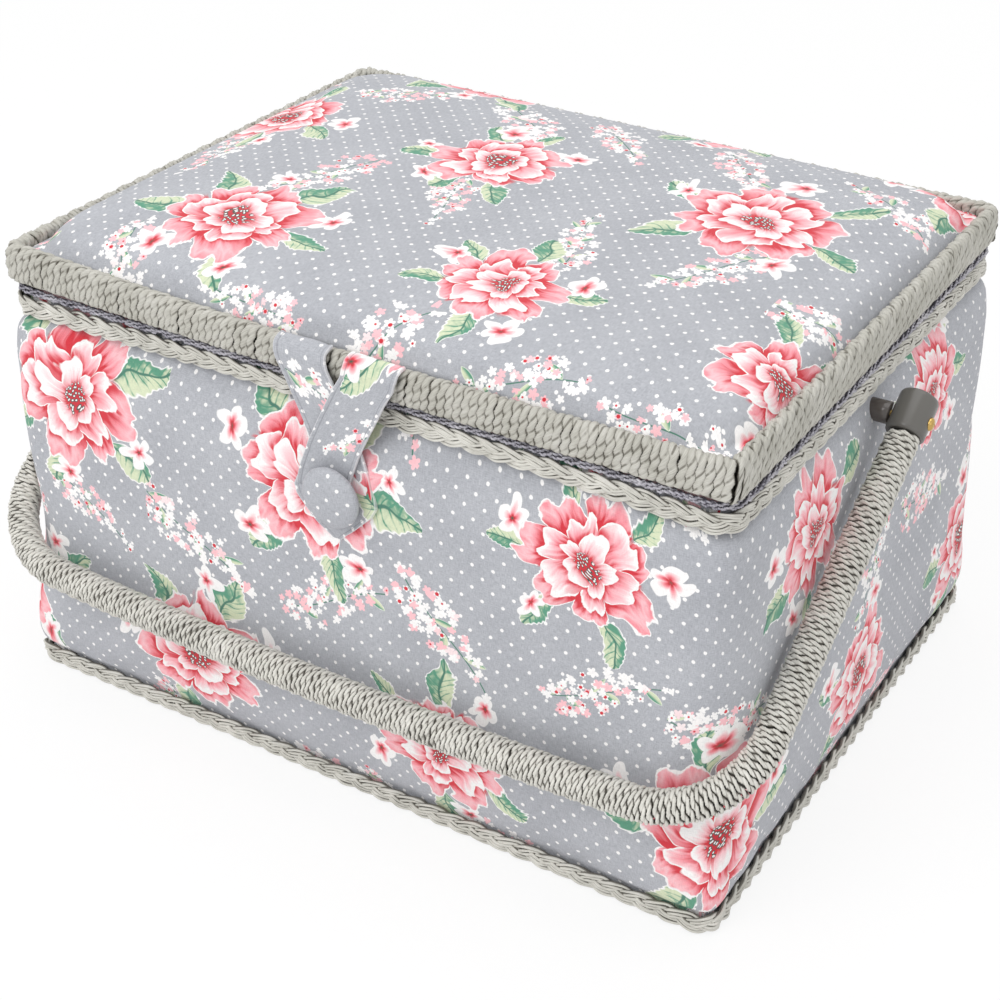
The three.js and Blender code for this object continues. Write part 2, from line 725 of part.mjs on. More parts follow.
// Handle: a bail with straight arms, round bends and a slightly bowed bar, folded down on the front
const bowRadius = bendRadius + (armX - bendRadius) / Math.sin(bowAngle);
const armEnd = handleReach - bendRadius * Math.cos(bowAngle) - bowRadius * (1 - Math.cos(bowAngle));
const bendTurn = Math.PI / 2 - bowAngle;
const bailRuns = [armEnd, bendRadius * bendTurn, bowRadius * bowAngle * 2, bendRadius * bendTurn, armEnd];
const bailRunSteps = [2, 5, 4, 5, 2];
const bailLength = bailRuns.reduce((sum, length) => sum + length, 0);

// Across the box and away from the pivot, with the way ahead, at a travel along the bail
function bailAt(travel) {
  let rest = travel;
  let run = 0;
  while (run < bailRuns.length - 1 && rest > bailRuns[run]) {
    rest -= bailRuns[run];
    run += 1;
  }
  if (run === 0) return { across: -armX, away: rest, heading: Math.PI / 2 };
  if (run === 4) return { across: armX, away: armEnd - rest, heading: -Math.PI / 2 };
  if (run === 2) {
    const angle = bowAngle - rest / bowRadius;
    const away = handleReach - bowRadius * (1 - Math.cos(angle));
    return { across: -bowRadius * Math.sin(angle), away, heading: angle };
  }
  const turned = rest / bendRadius;
  const angle = run === 1 ? turned : bendTurn - turned;
  const side = run === 1 ? -1 : 1;
  const across = side * (armX - bendRadius + bendRadius * Math.cos(angle));
  const heading = run === 1 ? Math.PI / 2 - turned : -bowAngle - turned;
  return { across, away: armEnd + bendRadius * Math.sin(angle), heading };
}

// Places along the bail that are enough for a smooth tube: few on straights, more in the bends
function bailStops(start) {
  const stops = [start];
  let passed = 0;
  bailRuns.forEach((length, run) => {
    for (let k = 1; k <= bailRunSteps[run]; k += 1) stops.push(passed + (length * k) / bailRunSteps[run]);
    passed += length;
  });
  return stops.map((stop) => Math.min(stop, bailLength - start));
}

// Least distance between the bail's middle line and the padded cover, at an angle below level
function bailClearance(angle, cornerRadius) {
  const distances = bailStops(0).map((travel) => {
    const { across, away } = bailAt(travel);
    const size = padSizeNear(pivotHeight - away * Math.sin(angle));
    const faceX = size.halfX - size[cornerRadius];
    const overX = Math.max(0, Math.abs(across) - faceX);
    const overY = Math.max(0, away * Math.cos(angle) - size.halfY + size[cornerRadius]);
    const crown = frontCrown * size.crown * Math.max(0, 1 - (across / faceX) ** 2);
    return Math.hypot(overX, overY) - size[cornerRadius] - crown;
  });
  return Math.min(...distances);
}

// The bail folds down until its bends meet the cover's corners
function foldedAngle(cornerRadius) {
  let high = 0;
  let low = Math.PI / 2;
  for (let k = 0; k < foldSteps; k += 1) {
    const middle = (high + low) / 2;
    if (bailClearance(middle, cornerRadius) > handleRadius + gap) high = middle;
    else low = middle;
  }
  return high;
}

const restAngle = foldedAngle("frontRadius");

// A place on the bail in space, with its section's two directions
function bailFrame(travel) {
  const { across, away, heading } = bailAt(travel);
  const outward = new THREE.Vector3(0, -Math.cos(restAngle), -Math.sin(restAngle));
  const side = new THREE.Vector3(1, 0, 0);
  const place = new THREE.Vector3(0, 0, pivotHeight);
  place.addScaledVector(side, across).addScaledVector(outward, away);
  const inPlane = side.clone().multiplyScalar(-Math.sin(heading)).addScaledVector(outward, Math.cos(heading));
  return { place, inPlane, offPlane: new THREE.Vector3().crossVectors(side, outward) };
}

function bailRing(travel, radius) {
  const { place, inPlane, offPlane } = bailFrame(travel);
  const ring = [];
  for (let i = 0; i < wrapSides; i += 1) {
    const angle = (2 * Math.PI * (i + 0.5)) / wrapSides;
    const point = place.clone();
    point.addScaledVector(inPlane, radius * Math.cos(angle));
    point.addScaledVector(offPlane, radius * Math.sin(angle));
    ring.push(point.toArray());
  }
  return ring;
}

function addHandle() {
  const wrapStart = capBelow + gap;
  const wrapLength = bailLength - wrapStart * 2;
  const rings = [];
  for (let k = 0; k < handleWraps; k += 1) {
    rings.push(bailRing(wrapStart + (wrapLength * k) / handleWraps, handleRadius - handleGrooveDepth));
    rings.push(bailRing(wrapStart + (wrapLength * (k + 0.5)) / handleWraps, handleRadius));
  }
  rings.push(bailRing(wrapStart + wrapLength, handleRadius - handleGrooveDepth));
  const bore = bailStops(wrapStart).map((travel) => bailRing(travel, coreRadius + gap));
  add("handle_wrap", skin([...rings, ...bore.reverse()], "closed"), "cord");
  const core = bailStops(socketStart).map((travel) => bailRing(travel, coreRadius));
  add("handle_core", skin(core, "open"), "capPlastic");
  for (const [name, side] of [["left", -1], ["right", 1]]) addPivot(name, side);
}

// Moulded end cap, rivet, spacer and inside washer of one arm
function addPivot(name, side) {
  const profile = [new THREE.Vector2(0, -capAbove)];
  for (let k = 0; k <= cornerSteps; k += 1) {
    const angle = (k / cornerSteps) * (Math.PI / 2);
    const out = capRadius - capEdgeRadius * (1 - Math.sin(angle));
    profile.push(new THREE.Vector2(out, -capAbove + capEdgeRadius * (1 - Math.cos(angle))));
  }
  profile.push(new THREE.Vector2(capRadius, capBelow));
  profile.push(new THREE.Vector2(coreRadius + gap, capBelow));
  profile.push(new THREE.Vector2(coreRadius + gap, socketStart - gap));
  profile.push(new THREE.Vector2(0, socketStart - gap));
  const cap = merged(new THREE.LatheGeometry(profile, roundSteps));
  cap.rotateX(Math.PI + restAngle).translate(side * armX, 0, pivotHeight);
  const past = armX + capRadius + overrun;
  const hole = rod(rivetRadius + runningGap, side * caseHalfX, side * past, 0, pivotHeight);
  const recessFloor = armX + capRadius - rivetRecess;
  const recess = rod(rivetHeadRadius + gap, side * recessFloor, side * past, 0, pivotHeight);
  add(`handle_cap_${name}`, cut(cap, hole, recess), "capPlastic");

  const spacerLow = caseHalfX + spacerSeat;
  const spacerHigh = armX - capRadius - gap;
  const spacer = rod(spacerRadius, side * spacerLow, side * spacerHigh, 0, pivotHeight);
  add(`pivot_spacer_${name}`, cut(spacer, hole), "capPlastic");

  const washerHigh = roomHalfX - gap;
  const washerLow = washerHigh - washerThickness;
  const washer = rod(washerRadius, side * washerLow, side * washerHigh, 0, pivotHeight);
  const bore = rod(rivetRadius + runningGap, -overrun, overrun, 0, pivotHeight);
  bore.translate(side * (washerLow + washerThickness / 2), 0, 0);
  add(`pivot_washer_${name}`, cut(washer, bore), "steel");

  const headBase = recessFloor + gap;
  const tailTop = washerLow - gap;
  const rivet = [new THREE.Vector2(0, tailTop - rivetTailHeight)];
  rivet.push(new THREE.Vector2(rivetTailRadius * rivetTailFlatShare, tailTop - rivetTailHeight));
  rivet.push(new THREE.Vector2(rivetTailRadius, tailTop - rivetTailHeight / 2));
  rivet.push(new THREE.Vector2(rivetTailRadius, tailTop));
  rivet.push(new THREE.Vector2(rivetRadius, tailTop));
  rivet.push(new THREE.Vector2(rivetRadius, headBase));
  for (let k = 0; k <= cornerSteps; k += 1) {
    const angle = (k / cornerSteps) * (Math.PI / 2);
    const rise = headBase + rivetHeadHeight * Math.sin(angle);
    rivet.push(new THREE.Vector2(rivetHeadRadius * Math.cos(angle), rise));
  }
  const turned = merged(new THREE.LatheGeometry(rivet, roundSteps)).rotateZ(-Math.PI / 2);
  if (side < 0) turned.rotateZ(Math.PI);
  add(`pivot_rivet_${name}`, turned.translate(0, 0, pivotHeight), "brass");
}

// The way the cloth loop lies: over the rim's crest, down its face and on down the padded front
function drapePath() {
  const front = (z) => [-(padFrontAt(z) + gap), z];
  const crest = wrapDepthShares.map((share, i) => [
    -(rimHalfY - rimBandWidth * share), rimBottom + rimHeight * wrapHeightShares[i],
  ]);
  const face = -(rimHalfY + gap);
  const stations = [1, 0, -1, -2, -3].map((step) => front(buttonHeight + step * buttonRadius));
  return [
    [crest[5][0], rimTop + gap],
    [crest[4][0], rimTop + gap],
    [face, crest[3][1]],
    [face, rimBottom],
    [face, padTop - mouthBraidHeight],
    ...stations,
  ].map(([y, z]) => new THREE.Vector2(y, z));
}

const drape = drapePath();
const drapeTravels = drape.map((point, k) =>
  drape.slice(1, k + 1).reduce((sum, here, i) => sum + here.distanceTo(drape[i]), 0));
const strapStart = drapeTravels[2];
const buttonTravel = drapeTravels[6];
const strapDrop = buttonTravel - strapStart + strapTip;

function drapedPoint(x, travel, off) {
  const past = drapeTravels.findIndex((length) => length > travel);
  const run = Math.min(drape.length - 2, Math.max(0, past - 1));
  const ahead = drape[run + 1].clone().sub(drape[run]).normalize();
  const place = drape[run].clone().addScaledVector(ahead, travel - drapeTravels[run]);
  return [x, place.x + ahead.y * off, place.y - ahead.x * off];
}

// Shares of the strap's drop, with its legs' sideways place in half spreads, and the over leg's layer
const legDropShares = [-0.21, -0.02, 0.04, 0.11, 0.3, 0.46, 0.61, 0.68, 0.72];
const legPlaceShares = [1.1, 1.06, 0.98, 0.8, 0.35, 0, -0.25, -0.33, -0.35];
const legLayerShares = [0, 0, 0, 0.6, 1, 1, 1, 1, 1];

function legAt(travel, side) {
  const share = (travel - strapStart) / strapDrop;
  const next = Math.max(1, legDropShares.findIndex((value) => value >= share));
  const mix = (share - legDropShares[next - 1]) / (legDropShares[next] - legDropShares[next - 1]);
  const at = (table) => THREE.MathUtils.lerp(table[next - 1], table[next], mix);
  const layer = side > 0 ? at(legLayerShares) * (strapThickness + gap) : 0;
  const x = strapX + side * at(legPlaceShares) * (strapTopSpread / 2);
  return { x, half: strapWidth / 2, travel, low: gap + layer, high: gap + layer + strapThickness };
}

function strapRibbon(places) {
  const rings = places.map(({ x, half, travel, low, high }) => [
    drapedPoint(x - half, travel, low),
    drapedPoint(x + half, travel, low),
    drapedPoint(x + half, travel, high),
    drapedPoint(x - half, travel, high),
  ]);
  return skin(rings, "open");
}

// Two folded legs cross over each other and meet in a mitred point
const pointDropShares = [0.64, 0.735, 1];
const pointWidthShares = [0.84, 1, 0.05];

function addClosure() {
  const legStops = legDropShares
    .map((share) => strapStart + share * strapDrop)
    .filter((travel) => travel > 0);
  const legEnd = Math.max(...legStops);
  const between = drapeTravels.filter((travel) => travel < legEnd);
  const stops = [...legStops, ...between].sort((p, q) => p - q);
  const leg = (side) => strapRibbon(stops.map((travel) => legAt(travel, side)));
  const both = strapThickness + gap + strapThickness;
  const point = strapRibbon(pointDropShares.map((share, k) => ({
    x: strapX,
    half: (strapPointWidth / 2) * pointWidthShares[k],
    travel: strapStart + strapDrop * share,
    low: gap,
    high: gap + both,
  })));
  const shankHole = new THREE.CylinderGeometry(eyeRadius, eyeRadius, padFrontMost, roundSteps);
  shankHole.translate(buttonX, -padFrontMost, buttonHeight);
  const loop = cut(join(leg(-1), leg(1), point), shankHole);
  add("closure_loop", loop, "fabric");

  const surface = padFrontAt(buttonHeight);
  const fullest = padFrontAt(buttonHeight - buttonRadius);
  const backFace = fullest + gap * 2 + both + gap;
  const shankLength = backFace - surface - gap * 2;
  const shank = new THREE.CylinderGeometry(shankRadius, shankRadius, shankLength, roundSteps);
  shank.translate(buttonX, -(backFace + surface) / 2, buttonHeight);
  add("button_shank", shank, "fabric");

  const edge = buttonThickness * buttonEdgeShare;
  const dome = [new THREE.Vector2(0, backFace), new THREE.Vector2(buttonRadius - edge, backFace)];
  dome.push(new THREE.Vector2(buttonRadius, backFace + edge));
  for (let k = 1; k <= cornerSteps; k += 1) {
    const angle = (k / cornerSteps) * (Math.PI / 2);
    const rise = (buttonThickness - edge) * Math.sin(angle);
    dome.push(new THREE.Vector2(buttonRadius * Math.cos(angle), backFace + edge + rise));
  }
  const button = merged(new THREE.LatheGeometry(dome, roundSteps)).rotateX(Math.PI);
  add("closure_button", button.translate(buttonX, 0, buttonHeight), "fabric");
}

// Tray with a row of equal cells behind a long and a short one
const backCellShares = [0, 1 / 3, 2 / 3, 1];
const frontCellShares = [0, 2 / 3, 1];
const trayWidth = (roomHalfX - trayEndClearance) * 2;
const trayDepth = (roomHalfY - fingerRoom) * 2;
const ledgeTop = caseHeight - ledgeDrop;
const ledgeHalfLength = roomHalfY - ledgeEndGap;
const trayBottom = ledgeTop + gap;

function addTray() {
  const halfX = trayWidth / 2;
  const halfY = trayDepth / 2;
  const loopAt = (inset, z) => flatRing(roundedLoop(halfX - inset, halfY - inset, trayCornerRadius), z);
  const outer = skin([loopAt(trayTaper, trayBottom), loopAt(0, trayBottom + trayHeight)], "open");
  const cells = [];
  const cellRow = (shares, lowY, highY) => {
    const span = trayWidth - trayWall;
    for (let k = 0; k + 1 < shares.length; k += 1) {
      const lowX = -halfX + trayWall + span * shares[k];
      const highX = -halfX + span * shares[k + 1];
      const centre = [(lowX + highX) / 2, (lowY + highY) / 2];
      cells.push(trayCell(...centre, (highX - lowX) / 2, (highY - lowY) / 2));
    }
  };
  cellRow(backCellShares, trayWall / 2, halfY - trayWall);
  cellRow(frontCellShares, -halfY + trayWall, -trayWall / 2);
  add("tray", cut(outer, ...cells), "trayPlastic");

  const ledgeFace = roomHalfX - gap;
  for (const [name, side] of [["ledge_left", -1], ["ledge_right", 1]]) {
    const [low, high] = [side * ledgeFace, side * (ledgeFace - ledgeWidth)].sort((p, q) => p - q);
    const ledge = block(low, high, -ledgeHalfLength, ledgeHalfLength, ledgeTop - ledgeHeight, ledgeTop);
    add(name, ledge, "lining");
  }
}

function trayCell(x, y, halfX, halfY) {
  const ring = (inset, z) => flatRing(roundedLoop(halfX - inset, halfY - inset, cellCornerRadius), z);
  const floor = trayBottom + trayFloor;
  const rings = [ring(trayTaper, floor), ring(0, trayBottom + trayHeight + overrun)];
  return skin(rings, "open").translate(x, y, 0);
}

addCase();
addPaddedCover();
addLinings();
addTrims();
addTray();
addLid();
addHinges();
addHandle();
addClosure();

const group = new THREE.Group();
group.add(...parts);
export default group;
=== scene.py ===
# Sewing box: padded printed cloth, cord-wound lid rim and swing handle, plaited trims
import bisect
import json
from functools import partial
from math import atan2, copysign, cos, degrees, exp, hypot, log, pi, radians, sin, tau
from types import SimpleNamespace

import bmesh
import bpy
import numpy as np
from mathutils import Matrix, Vector, noise


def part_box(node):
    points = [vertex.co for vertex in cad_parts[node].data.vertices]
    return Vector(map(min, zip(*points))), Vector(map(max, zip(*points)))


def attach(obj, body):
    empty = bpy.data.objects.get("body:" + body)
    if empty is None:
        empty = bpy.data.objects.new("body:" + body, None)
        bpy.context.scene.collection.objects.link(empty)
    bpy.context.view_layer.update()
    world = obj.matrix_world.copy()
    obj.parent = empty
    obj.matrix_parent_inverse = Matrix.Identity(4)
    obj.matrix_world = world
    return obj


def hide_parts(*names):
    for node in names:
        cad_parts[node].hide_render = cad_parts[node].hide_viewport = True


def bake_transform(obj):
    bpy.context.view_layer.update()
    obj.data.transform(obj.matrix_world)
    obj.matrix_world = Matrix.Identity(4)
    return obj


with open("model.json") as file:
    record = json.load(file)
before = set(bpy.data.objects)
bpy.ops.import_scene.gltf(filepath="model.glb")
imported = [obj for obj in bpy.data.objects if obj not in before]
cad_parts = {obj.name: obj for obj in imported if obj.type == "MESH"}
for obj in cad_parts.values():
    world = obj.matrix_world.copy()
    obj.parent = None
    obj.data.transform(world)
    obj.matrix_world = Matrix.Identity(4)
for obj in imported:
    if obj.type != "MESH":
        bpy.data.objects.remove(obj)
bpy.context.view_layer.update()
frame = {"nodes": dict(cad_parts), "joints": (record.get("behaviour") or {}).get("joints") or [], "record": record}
mm = 0.001

# Camera at the photograph's place
cameraView = SimpleNamespace(place=(354.3, -584.1, 492.1), turn=31.63, down=31.97, roll=0.19, lens=68.52)


def addObject(name, data):
    piece = bpy.data.objects.new(name, data)
    bpy.context.scene.collection.objects.link(piece)
    return piece


def makeCamera():
    data = bpy.data.cameras.new("camera")
    data.lens = cameraView.lens
    data.clip_start = 0.02
    camera = addObject("camera", data)
    turn = Matrix.Rotation(radians(cameraView.turn), 4, "Z")
    tip = Matrix.Rotation(radians(90 - cameraView.down), 4, "X")
    roll = Matrix.Rotation(radians(cameraView.roll), 4, "Z")
    camera.matrix_world = Matrix.Translation(Vector(cameraView.place) * mm) @ turn @ tip @ roll
    bpy.context.scene.camera = camera


makeCamera()

# Node helpers: a value is a wire, a socket or a plain number


class Wire:
    # A socket's value: arithmetic on wires builds Math nodes
    def __init__(self, socket):
        self.socket = socket

    def __add__(self, other):
        return calc("ADD", self, other)

    def __sub__(self, other):
        return calc("SUBTRACT", self, other)

    def __rsub__(self, other):
        return calc("SUBTRACT", other, self)

    def __mul__(self, other):
        return calc("MULTIPLY", self, other)

    def __truediv__(self, other):
        return calc("DIVIDE", self, other)

    def __pow__(self, other):
        return calc("POWER", self, other)

    def __gt__(self, other):
        return calc("GREATER_THAN", self, other)

    def __lt__(self, other):
        return calc("LESS_THAN", self, other)

    def __abs__(self):
        return calc("ABSOLUTE", self)


def socketOf(value):
    return value.socket if isinstance(value, Wire) else value


def newNode(tree, kind, **settings):
    fresh = tree.nodes.new("ShaderNode" + kind)
    for name, setting in settings.items():
        setattr(fresh, name, setting)
    return fresh


def nodeFor(values, kind, **settings):
    # A new node in the tree that the values are in
    sockets = [socketOf(value) for value in values]
    tree = next(socket for socket in sockets if isinstance(socket, bpy.types.NodeSocket)).id_data
    return newNode(tree, kind, **settings)


def wire(value, socket):
    source = socketOf(value)
    if isinstance(source, bpy.types.NodeSocket):
        source.id_data.links.new(source, socket)
    else:
        socket.default_value = paint(source) if isinstance(source, str) else source


def fill(fresh, values, output=0):
    for socket, value in zip(fresh.inputs, values):
        wire(value, socket)
    return Wire(fresh.outputs[output])


def calc(operation, *values):
    return fill(nodeFor(values, "Math", operation=operation), values)


mulAdd, sine, cosine, angleOf, roundDown, fraction, larger = (partial(calc, name) for name in (
    "MULTIPLY_ADD", "SINE", "COSINE", "ARCTAN2", "FLOOR", "FRACT", "MAXIMUM"))


def calcVector(operation, *values):
    output = "Value" if operation == "LENGTH" else "Vector"
    return fill(nodeFor(values, "VectorMath", operation=operation), values, output)


def vectorOf(x, y, z=0.0):
    return fill(nodeFor((x, y), "CombineXYZ"), (x, y, z))


def partsOf(vector):
    split = nodeFor((vector,), "SeparateXYZ")
    wire(vector, split.inputs[0])
    return [Wire(socket) for socket in split.outputs]


def fade(value, low, high, start=0.0, end=1.0):
    ranged = nodeFor((value,), "MapRange", interpolation_type="SMOOTHSTEP")
    return fill(ranged, (value, low, high, start, end))


def mixColours(share, first, second, kind="MIX"):
    mixer = nodeFor((share,), "Mix", data_type="RGBA", blend_type=kind)
    for place, value in ((0, share), (6, first), (7, second)):
        wire(value, mixer.inputs[place])
    return Wire(mixer.outputs[2])


def colourRamp(value, stops):
    ramp = nodeFor((value,), "ValToRGB")
    wire(value, ramp.inputs[0])
    while len(ramp.color_ramp.elements) < len(stops):
        ramp.color_ramp.elements.new(1.0)
    for element, (place, colour) in zip(ramp.color_ramp.elements, stops):
        element.position = place
        element.color = paint(colour)
    return Wire(ramp.outputs[0])


def noiseOn(vector, scale, detail=2.0, output="Fac"):
    texture = nodeFor((vector,), "TexNoise")
    wire(vector, texture.inputs["Vector"])
    texture.inputs["Scale"].default_value = scale
    texture.inputs["Detail"].default_value = detail
    return Wire(texture.outputs[output])


def voronoiOn(vector, scale):
    cells = nodeFor((vector,), "TexVoronoi", voronoi_dimensions="2D")
    wire(vector, cells.inputs["Vector"])
    cells.inputs["Scale"].default_value = scale
    return cells.outputs


def chance(vector, dimensions="2D", output="Value"):
    texture = nodeFor((vector,), "TexWhiteNoise", noise_dimensions=dimensions)
    wire(vector, texture.inputs["Vector"])
    return Wire(texture.outputs[output])


inks = {"grey": "#AFB1B7", "white": "#F7F5F4", "red": "#D23440", "pink": "#F4959F", "pale": "#F9C3C9",
        "leafPale": "#D6DEBE", "leafDark": "#5E9A80", "stem": "#4E7F6D"}


def paint(ink):
    # The linear colour of an ink's name or hex value
    code = inks.get(ink, ink)
    channels = [int(code[k:k + 2], 16) / 255 for k in (1, 3, 5)]
    linear = [c / 12.92 if c <= 0.04045 else ((c + 0.055) / 1.055) ** 2.4 for c in channels]
    return (*linear, 1.0)


def startMaterial(name, **settings):
    material = bpy.data.materials.new(name)
    material.use_nodes = True
    tree = material.node_tree
    shader = tree.nodes["Principled BSDF"]
    for socket, value in settings.items():
        shader.inputs[socket.replace("_", " ")].default_value = value
    return material, tree, shader


def objectPlace(tree):
    return newNode(tree, "TexCoord").outputs["Object"]


def addBump(shader, height, strength, distance):
    bump = nodeFor((height,), "Bump")
    for name, value in (("Strength", strength), ("Distance", distance), ("Height", height)):
        wire(value, bump.inputs[name])
    wire(bump.outputs[0], shader.inputs["Normal"])


# The printed cloth: white pin dots on grey, with clusters of open blossoms, leaves and sprays.
# Lengths are millimetres of cloth, read from the piece's own "cloth" UV map.
printLook = SimpleNamespace(cellWidth=112.0, cellHeight=96.0, dotPitchX=8.3, dotPitchY=9.1, dotRadius=0.72)


def petalRing(turn, reach, ruffle, count, offset, size, notch, seed):
    # One ring of petals: returns how deep a point is inside its edge, its share across and a streak value
    spun = calc("WRAP", turn + offset, 0.5, -0.5)
    steps = mulAdd(spun, float(count), 0.5 * (count % 2))
    across = fraction(steps) - 0.5
    off = abs(across)
    wide = (off * 2.0) ** 2.8
    dip = fade(off, 0.0, 0.16, 1.0, 0.0) * notch
    swing = mulAdd(chance(vectorOf(roundDown(steps), seed)), 0.16, 0.92)
    edge = mulAdd(wide, -0.34, 1.0) - dip
    edge = edge * swing * size
    edge = mulAdd(ruffle, size * 0.17, edge)
    depth = edge - reach
    streakPlace = vectorOf(steps * 9.0, reach * 0.1, seed)
    return (depth, across, noiseOn(streakPlace, 1.0, 3.0))


def petalColour(reach, ring, size, stops, sideShade):
    depth, across, streak = ring
    place = reach / size
    place = mulAdd(streak - 0.5, 0.5, place)
    colour = colourRamp(place, stops)
    shade = fade(across, 0.22, 0.5) * (streak * sideShade)
    colour = mixColours(shade, colour, "red")
    rim = fade(mulAdd(streak, -1.8, depth), -0.2, 0.6, 1.0, 0.0)
    return mixColours(rim, colour, "white")


def startGroup(name):
    # A group that draws one motif over the cloth's colour, in the motif's own local millimetres
    group = bpy.data.node_groups.new(name, "ShaderNodeTree")
    for socket, kind in (("Place", "Vector"), ("Seed", "Float"), ("Under", "Color")):
        group.interface.new_socket(socket, in_out="INPUT", socket_type="NodeSocket" + kind)
    group.interface.new_socket("Colour", in_out="OUTPUT", socket_type="NodeSocketColor")
    inside = group.nodes.new("NodeGroupInput").outputs
    return group, Wire(inside["Place"]), Wire(inside["Seed"]), Wire(inside["Under"])


def blossomGroup():
    # A layered open blossom with leaves and small florets round it
    group, place, seed, colour = startGroup("blossomCluster")
    bent = noiseOn(calcVector("ADD", place, vectorOf(seed, seed, seed)), 0.055, 1.5, "Color")
    shifted = calcVector("SUBTRACT", bent, (0.5, 0.5, 0.5))
    place = calcVector("MULTIPLY_ADD", shifted, (16.0, 16.0, 0.0), place)
    x, y, _ = partsOf(place)
    reach = calcVector("LENGTH", place)
    turn = angleOf(y, x) / tau
    wobble = noiseOn(calcVector("ADD", place, vectorOf(seed, seed)), 0.28, 2.0)
    ruffle = wobble - 0.5

    def sector(count, offset, distance):
        # Local place of what repeats round the blossom, and the number of its sector
        spun = calc("WRAP", turn + offset, 0.5, -0.5)
        steps = mulAdd(spun, float(count), 0.5 * (count % 2))
        number = roundDown(steps)
        bend = fraction(steps) - 0.5
        tilt = mulAdd(chance(vectorOf(number, seed)), 0.5, -0.25)
        angle = mulAdd(bend, tau / count, tilt * 0.9)
        along = mulAdd(cosine(angle), reach, -distance)
        across = sine(angle) * reach
        luck = chance(vectorOf(number, seed + 7.3))
        return along, across, luck

    # Leaves
    along, across, luck = sector(6, 0.04, 21.0)
    share = along / mulAdd(luck, 6.0, 18.0)
    arch = (1.0 - share) * larger(share, 0.0)
    veins = sine(mulAdd(abs(across), -1.9, along * 2.2))
    halfWidth = larger(arch, 0.0) ** 0.7 * 15.5
    halfWidth = mulAdd(veins, 0.28, halfWidth)
    leafDepth = halfWidth - abs(across)
    leafMask = fade(leafDepth, -0.1, 0.3) * (luck > 0.3)
    leafMask = leafMask * (share > 0.02)
    leafMask = leafMask * (share < 0.97)
    leafTone = mulAdd(across, 0.09, mulAdd(ruffle, 1.6, 0.35))
    leafTone = mulAdd(fade(veins, 0.55, 1.0), 0.35, leafTone)
    leaf = mixColours(fade(leafTone, 0.1, 0.75), "leafPale", "leafDark")
    midrib = fade(abs(across), 0.2, 0.6, 1.0, 0.0)
    leaf = mixColours(midrib, leaf, "stem")
    leafRim = fade(leafDepth, 0.3, 1.0, 1.0, 0.0)
    leaf = mixColours(leafRim, leaf, "white")
    colour = mixColours(leafMask, colour, leaf)

    # Small florets
    along, across, luck = sector(5, 0.13, 33.0)
    floretReach = calcVector("LENGTH", vectorOf(along, across))
    floretTurn = angleOf(across, along) / tau
    floretSize = mulAdd(luck, 3.4, 5.2)
    lobes = abs(cosine(floretTurn * (5 * pi)))
    floretEdge = mulAdd(lobes, 0.42, 0.6) * floretSize
    floretDepth = floretEdge - floretReach
    floretMask = fade(floretDepth, -0.1, 0.35) * (luck > 0.35)
    floretShare = mulAdd(ruffle, 0.3, floretReach / floretEdge)
    floret = colourRamp(floretShare, [(0.0, "#3F5B4E"), (0.16, "red"), (0.3, "pink"), (0.62, "white")])
    colour = mixColours(floretMask, colour, floret)

    # The blossom's three rings of petals and its heart
    rings = [
        (7, 0.0, 29.0, 0.10, 1.7, 1.15, [(0.6, "red"), (0.72, "pink"), (0.85, "pale"), (1.0, "pink")]),
        (6, 0.07, 21.0, 0.13, 4.1, 0.8, [(0.45, "red"), (0.58, "pink"), (0.73, "pale"), (0.9, "white")]),
        (5, 0.16, 12.5, 0.10, 9.2, 0.7, [(0.38, "red"), (0.58, "pale"), (0.82, "white")]),
    ]
    for count, offset, size, notch, ringSeed, sideShade, stops in rings:
        ring = petalRing(turn, reach, ruffle, count, offset, size, notch, seed + ringSeed)
        if size < 29.0:
            under = fade(ring[0], -3.4, 0.0) * fade(ring[2], 0.4, 0.6)
            colour = mixColours(under, colour, "red")
        petals = petalColour(reach, ring, size, stops, sideShade)
        colour = mixColours(fade(ring[0], -0.15, 0.25), colour, petals)
    heart = fade(mulAdd(ruffle, 3.0, reach), 3.2, 4.0, 1.0, 0.0)
    colour = mixColours(heart, colour, "#C7303C")
    specks = voronoiOn(place, 0.62)["Distance"]
    near = fade(reach, 5.0, 6.2, 1.0, 0.0)
    for low, high, tone in ((0.36, 0.46, "#44544D"), (0.18, 0.26, "white")):
        speck = fade(specks, low, high, 1.0, 0.0) * near
        colour = mixColours(speck, colour, tone)
    wire(colour, group.nodes.new("NodeGroupOutput").inputs["Colour"])
    return group


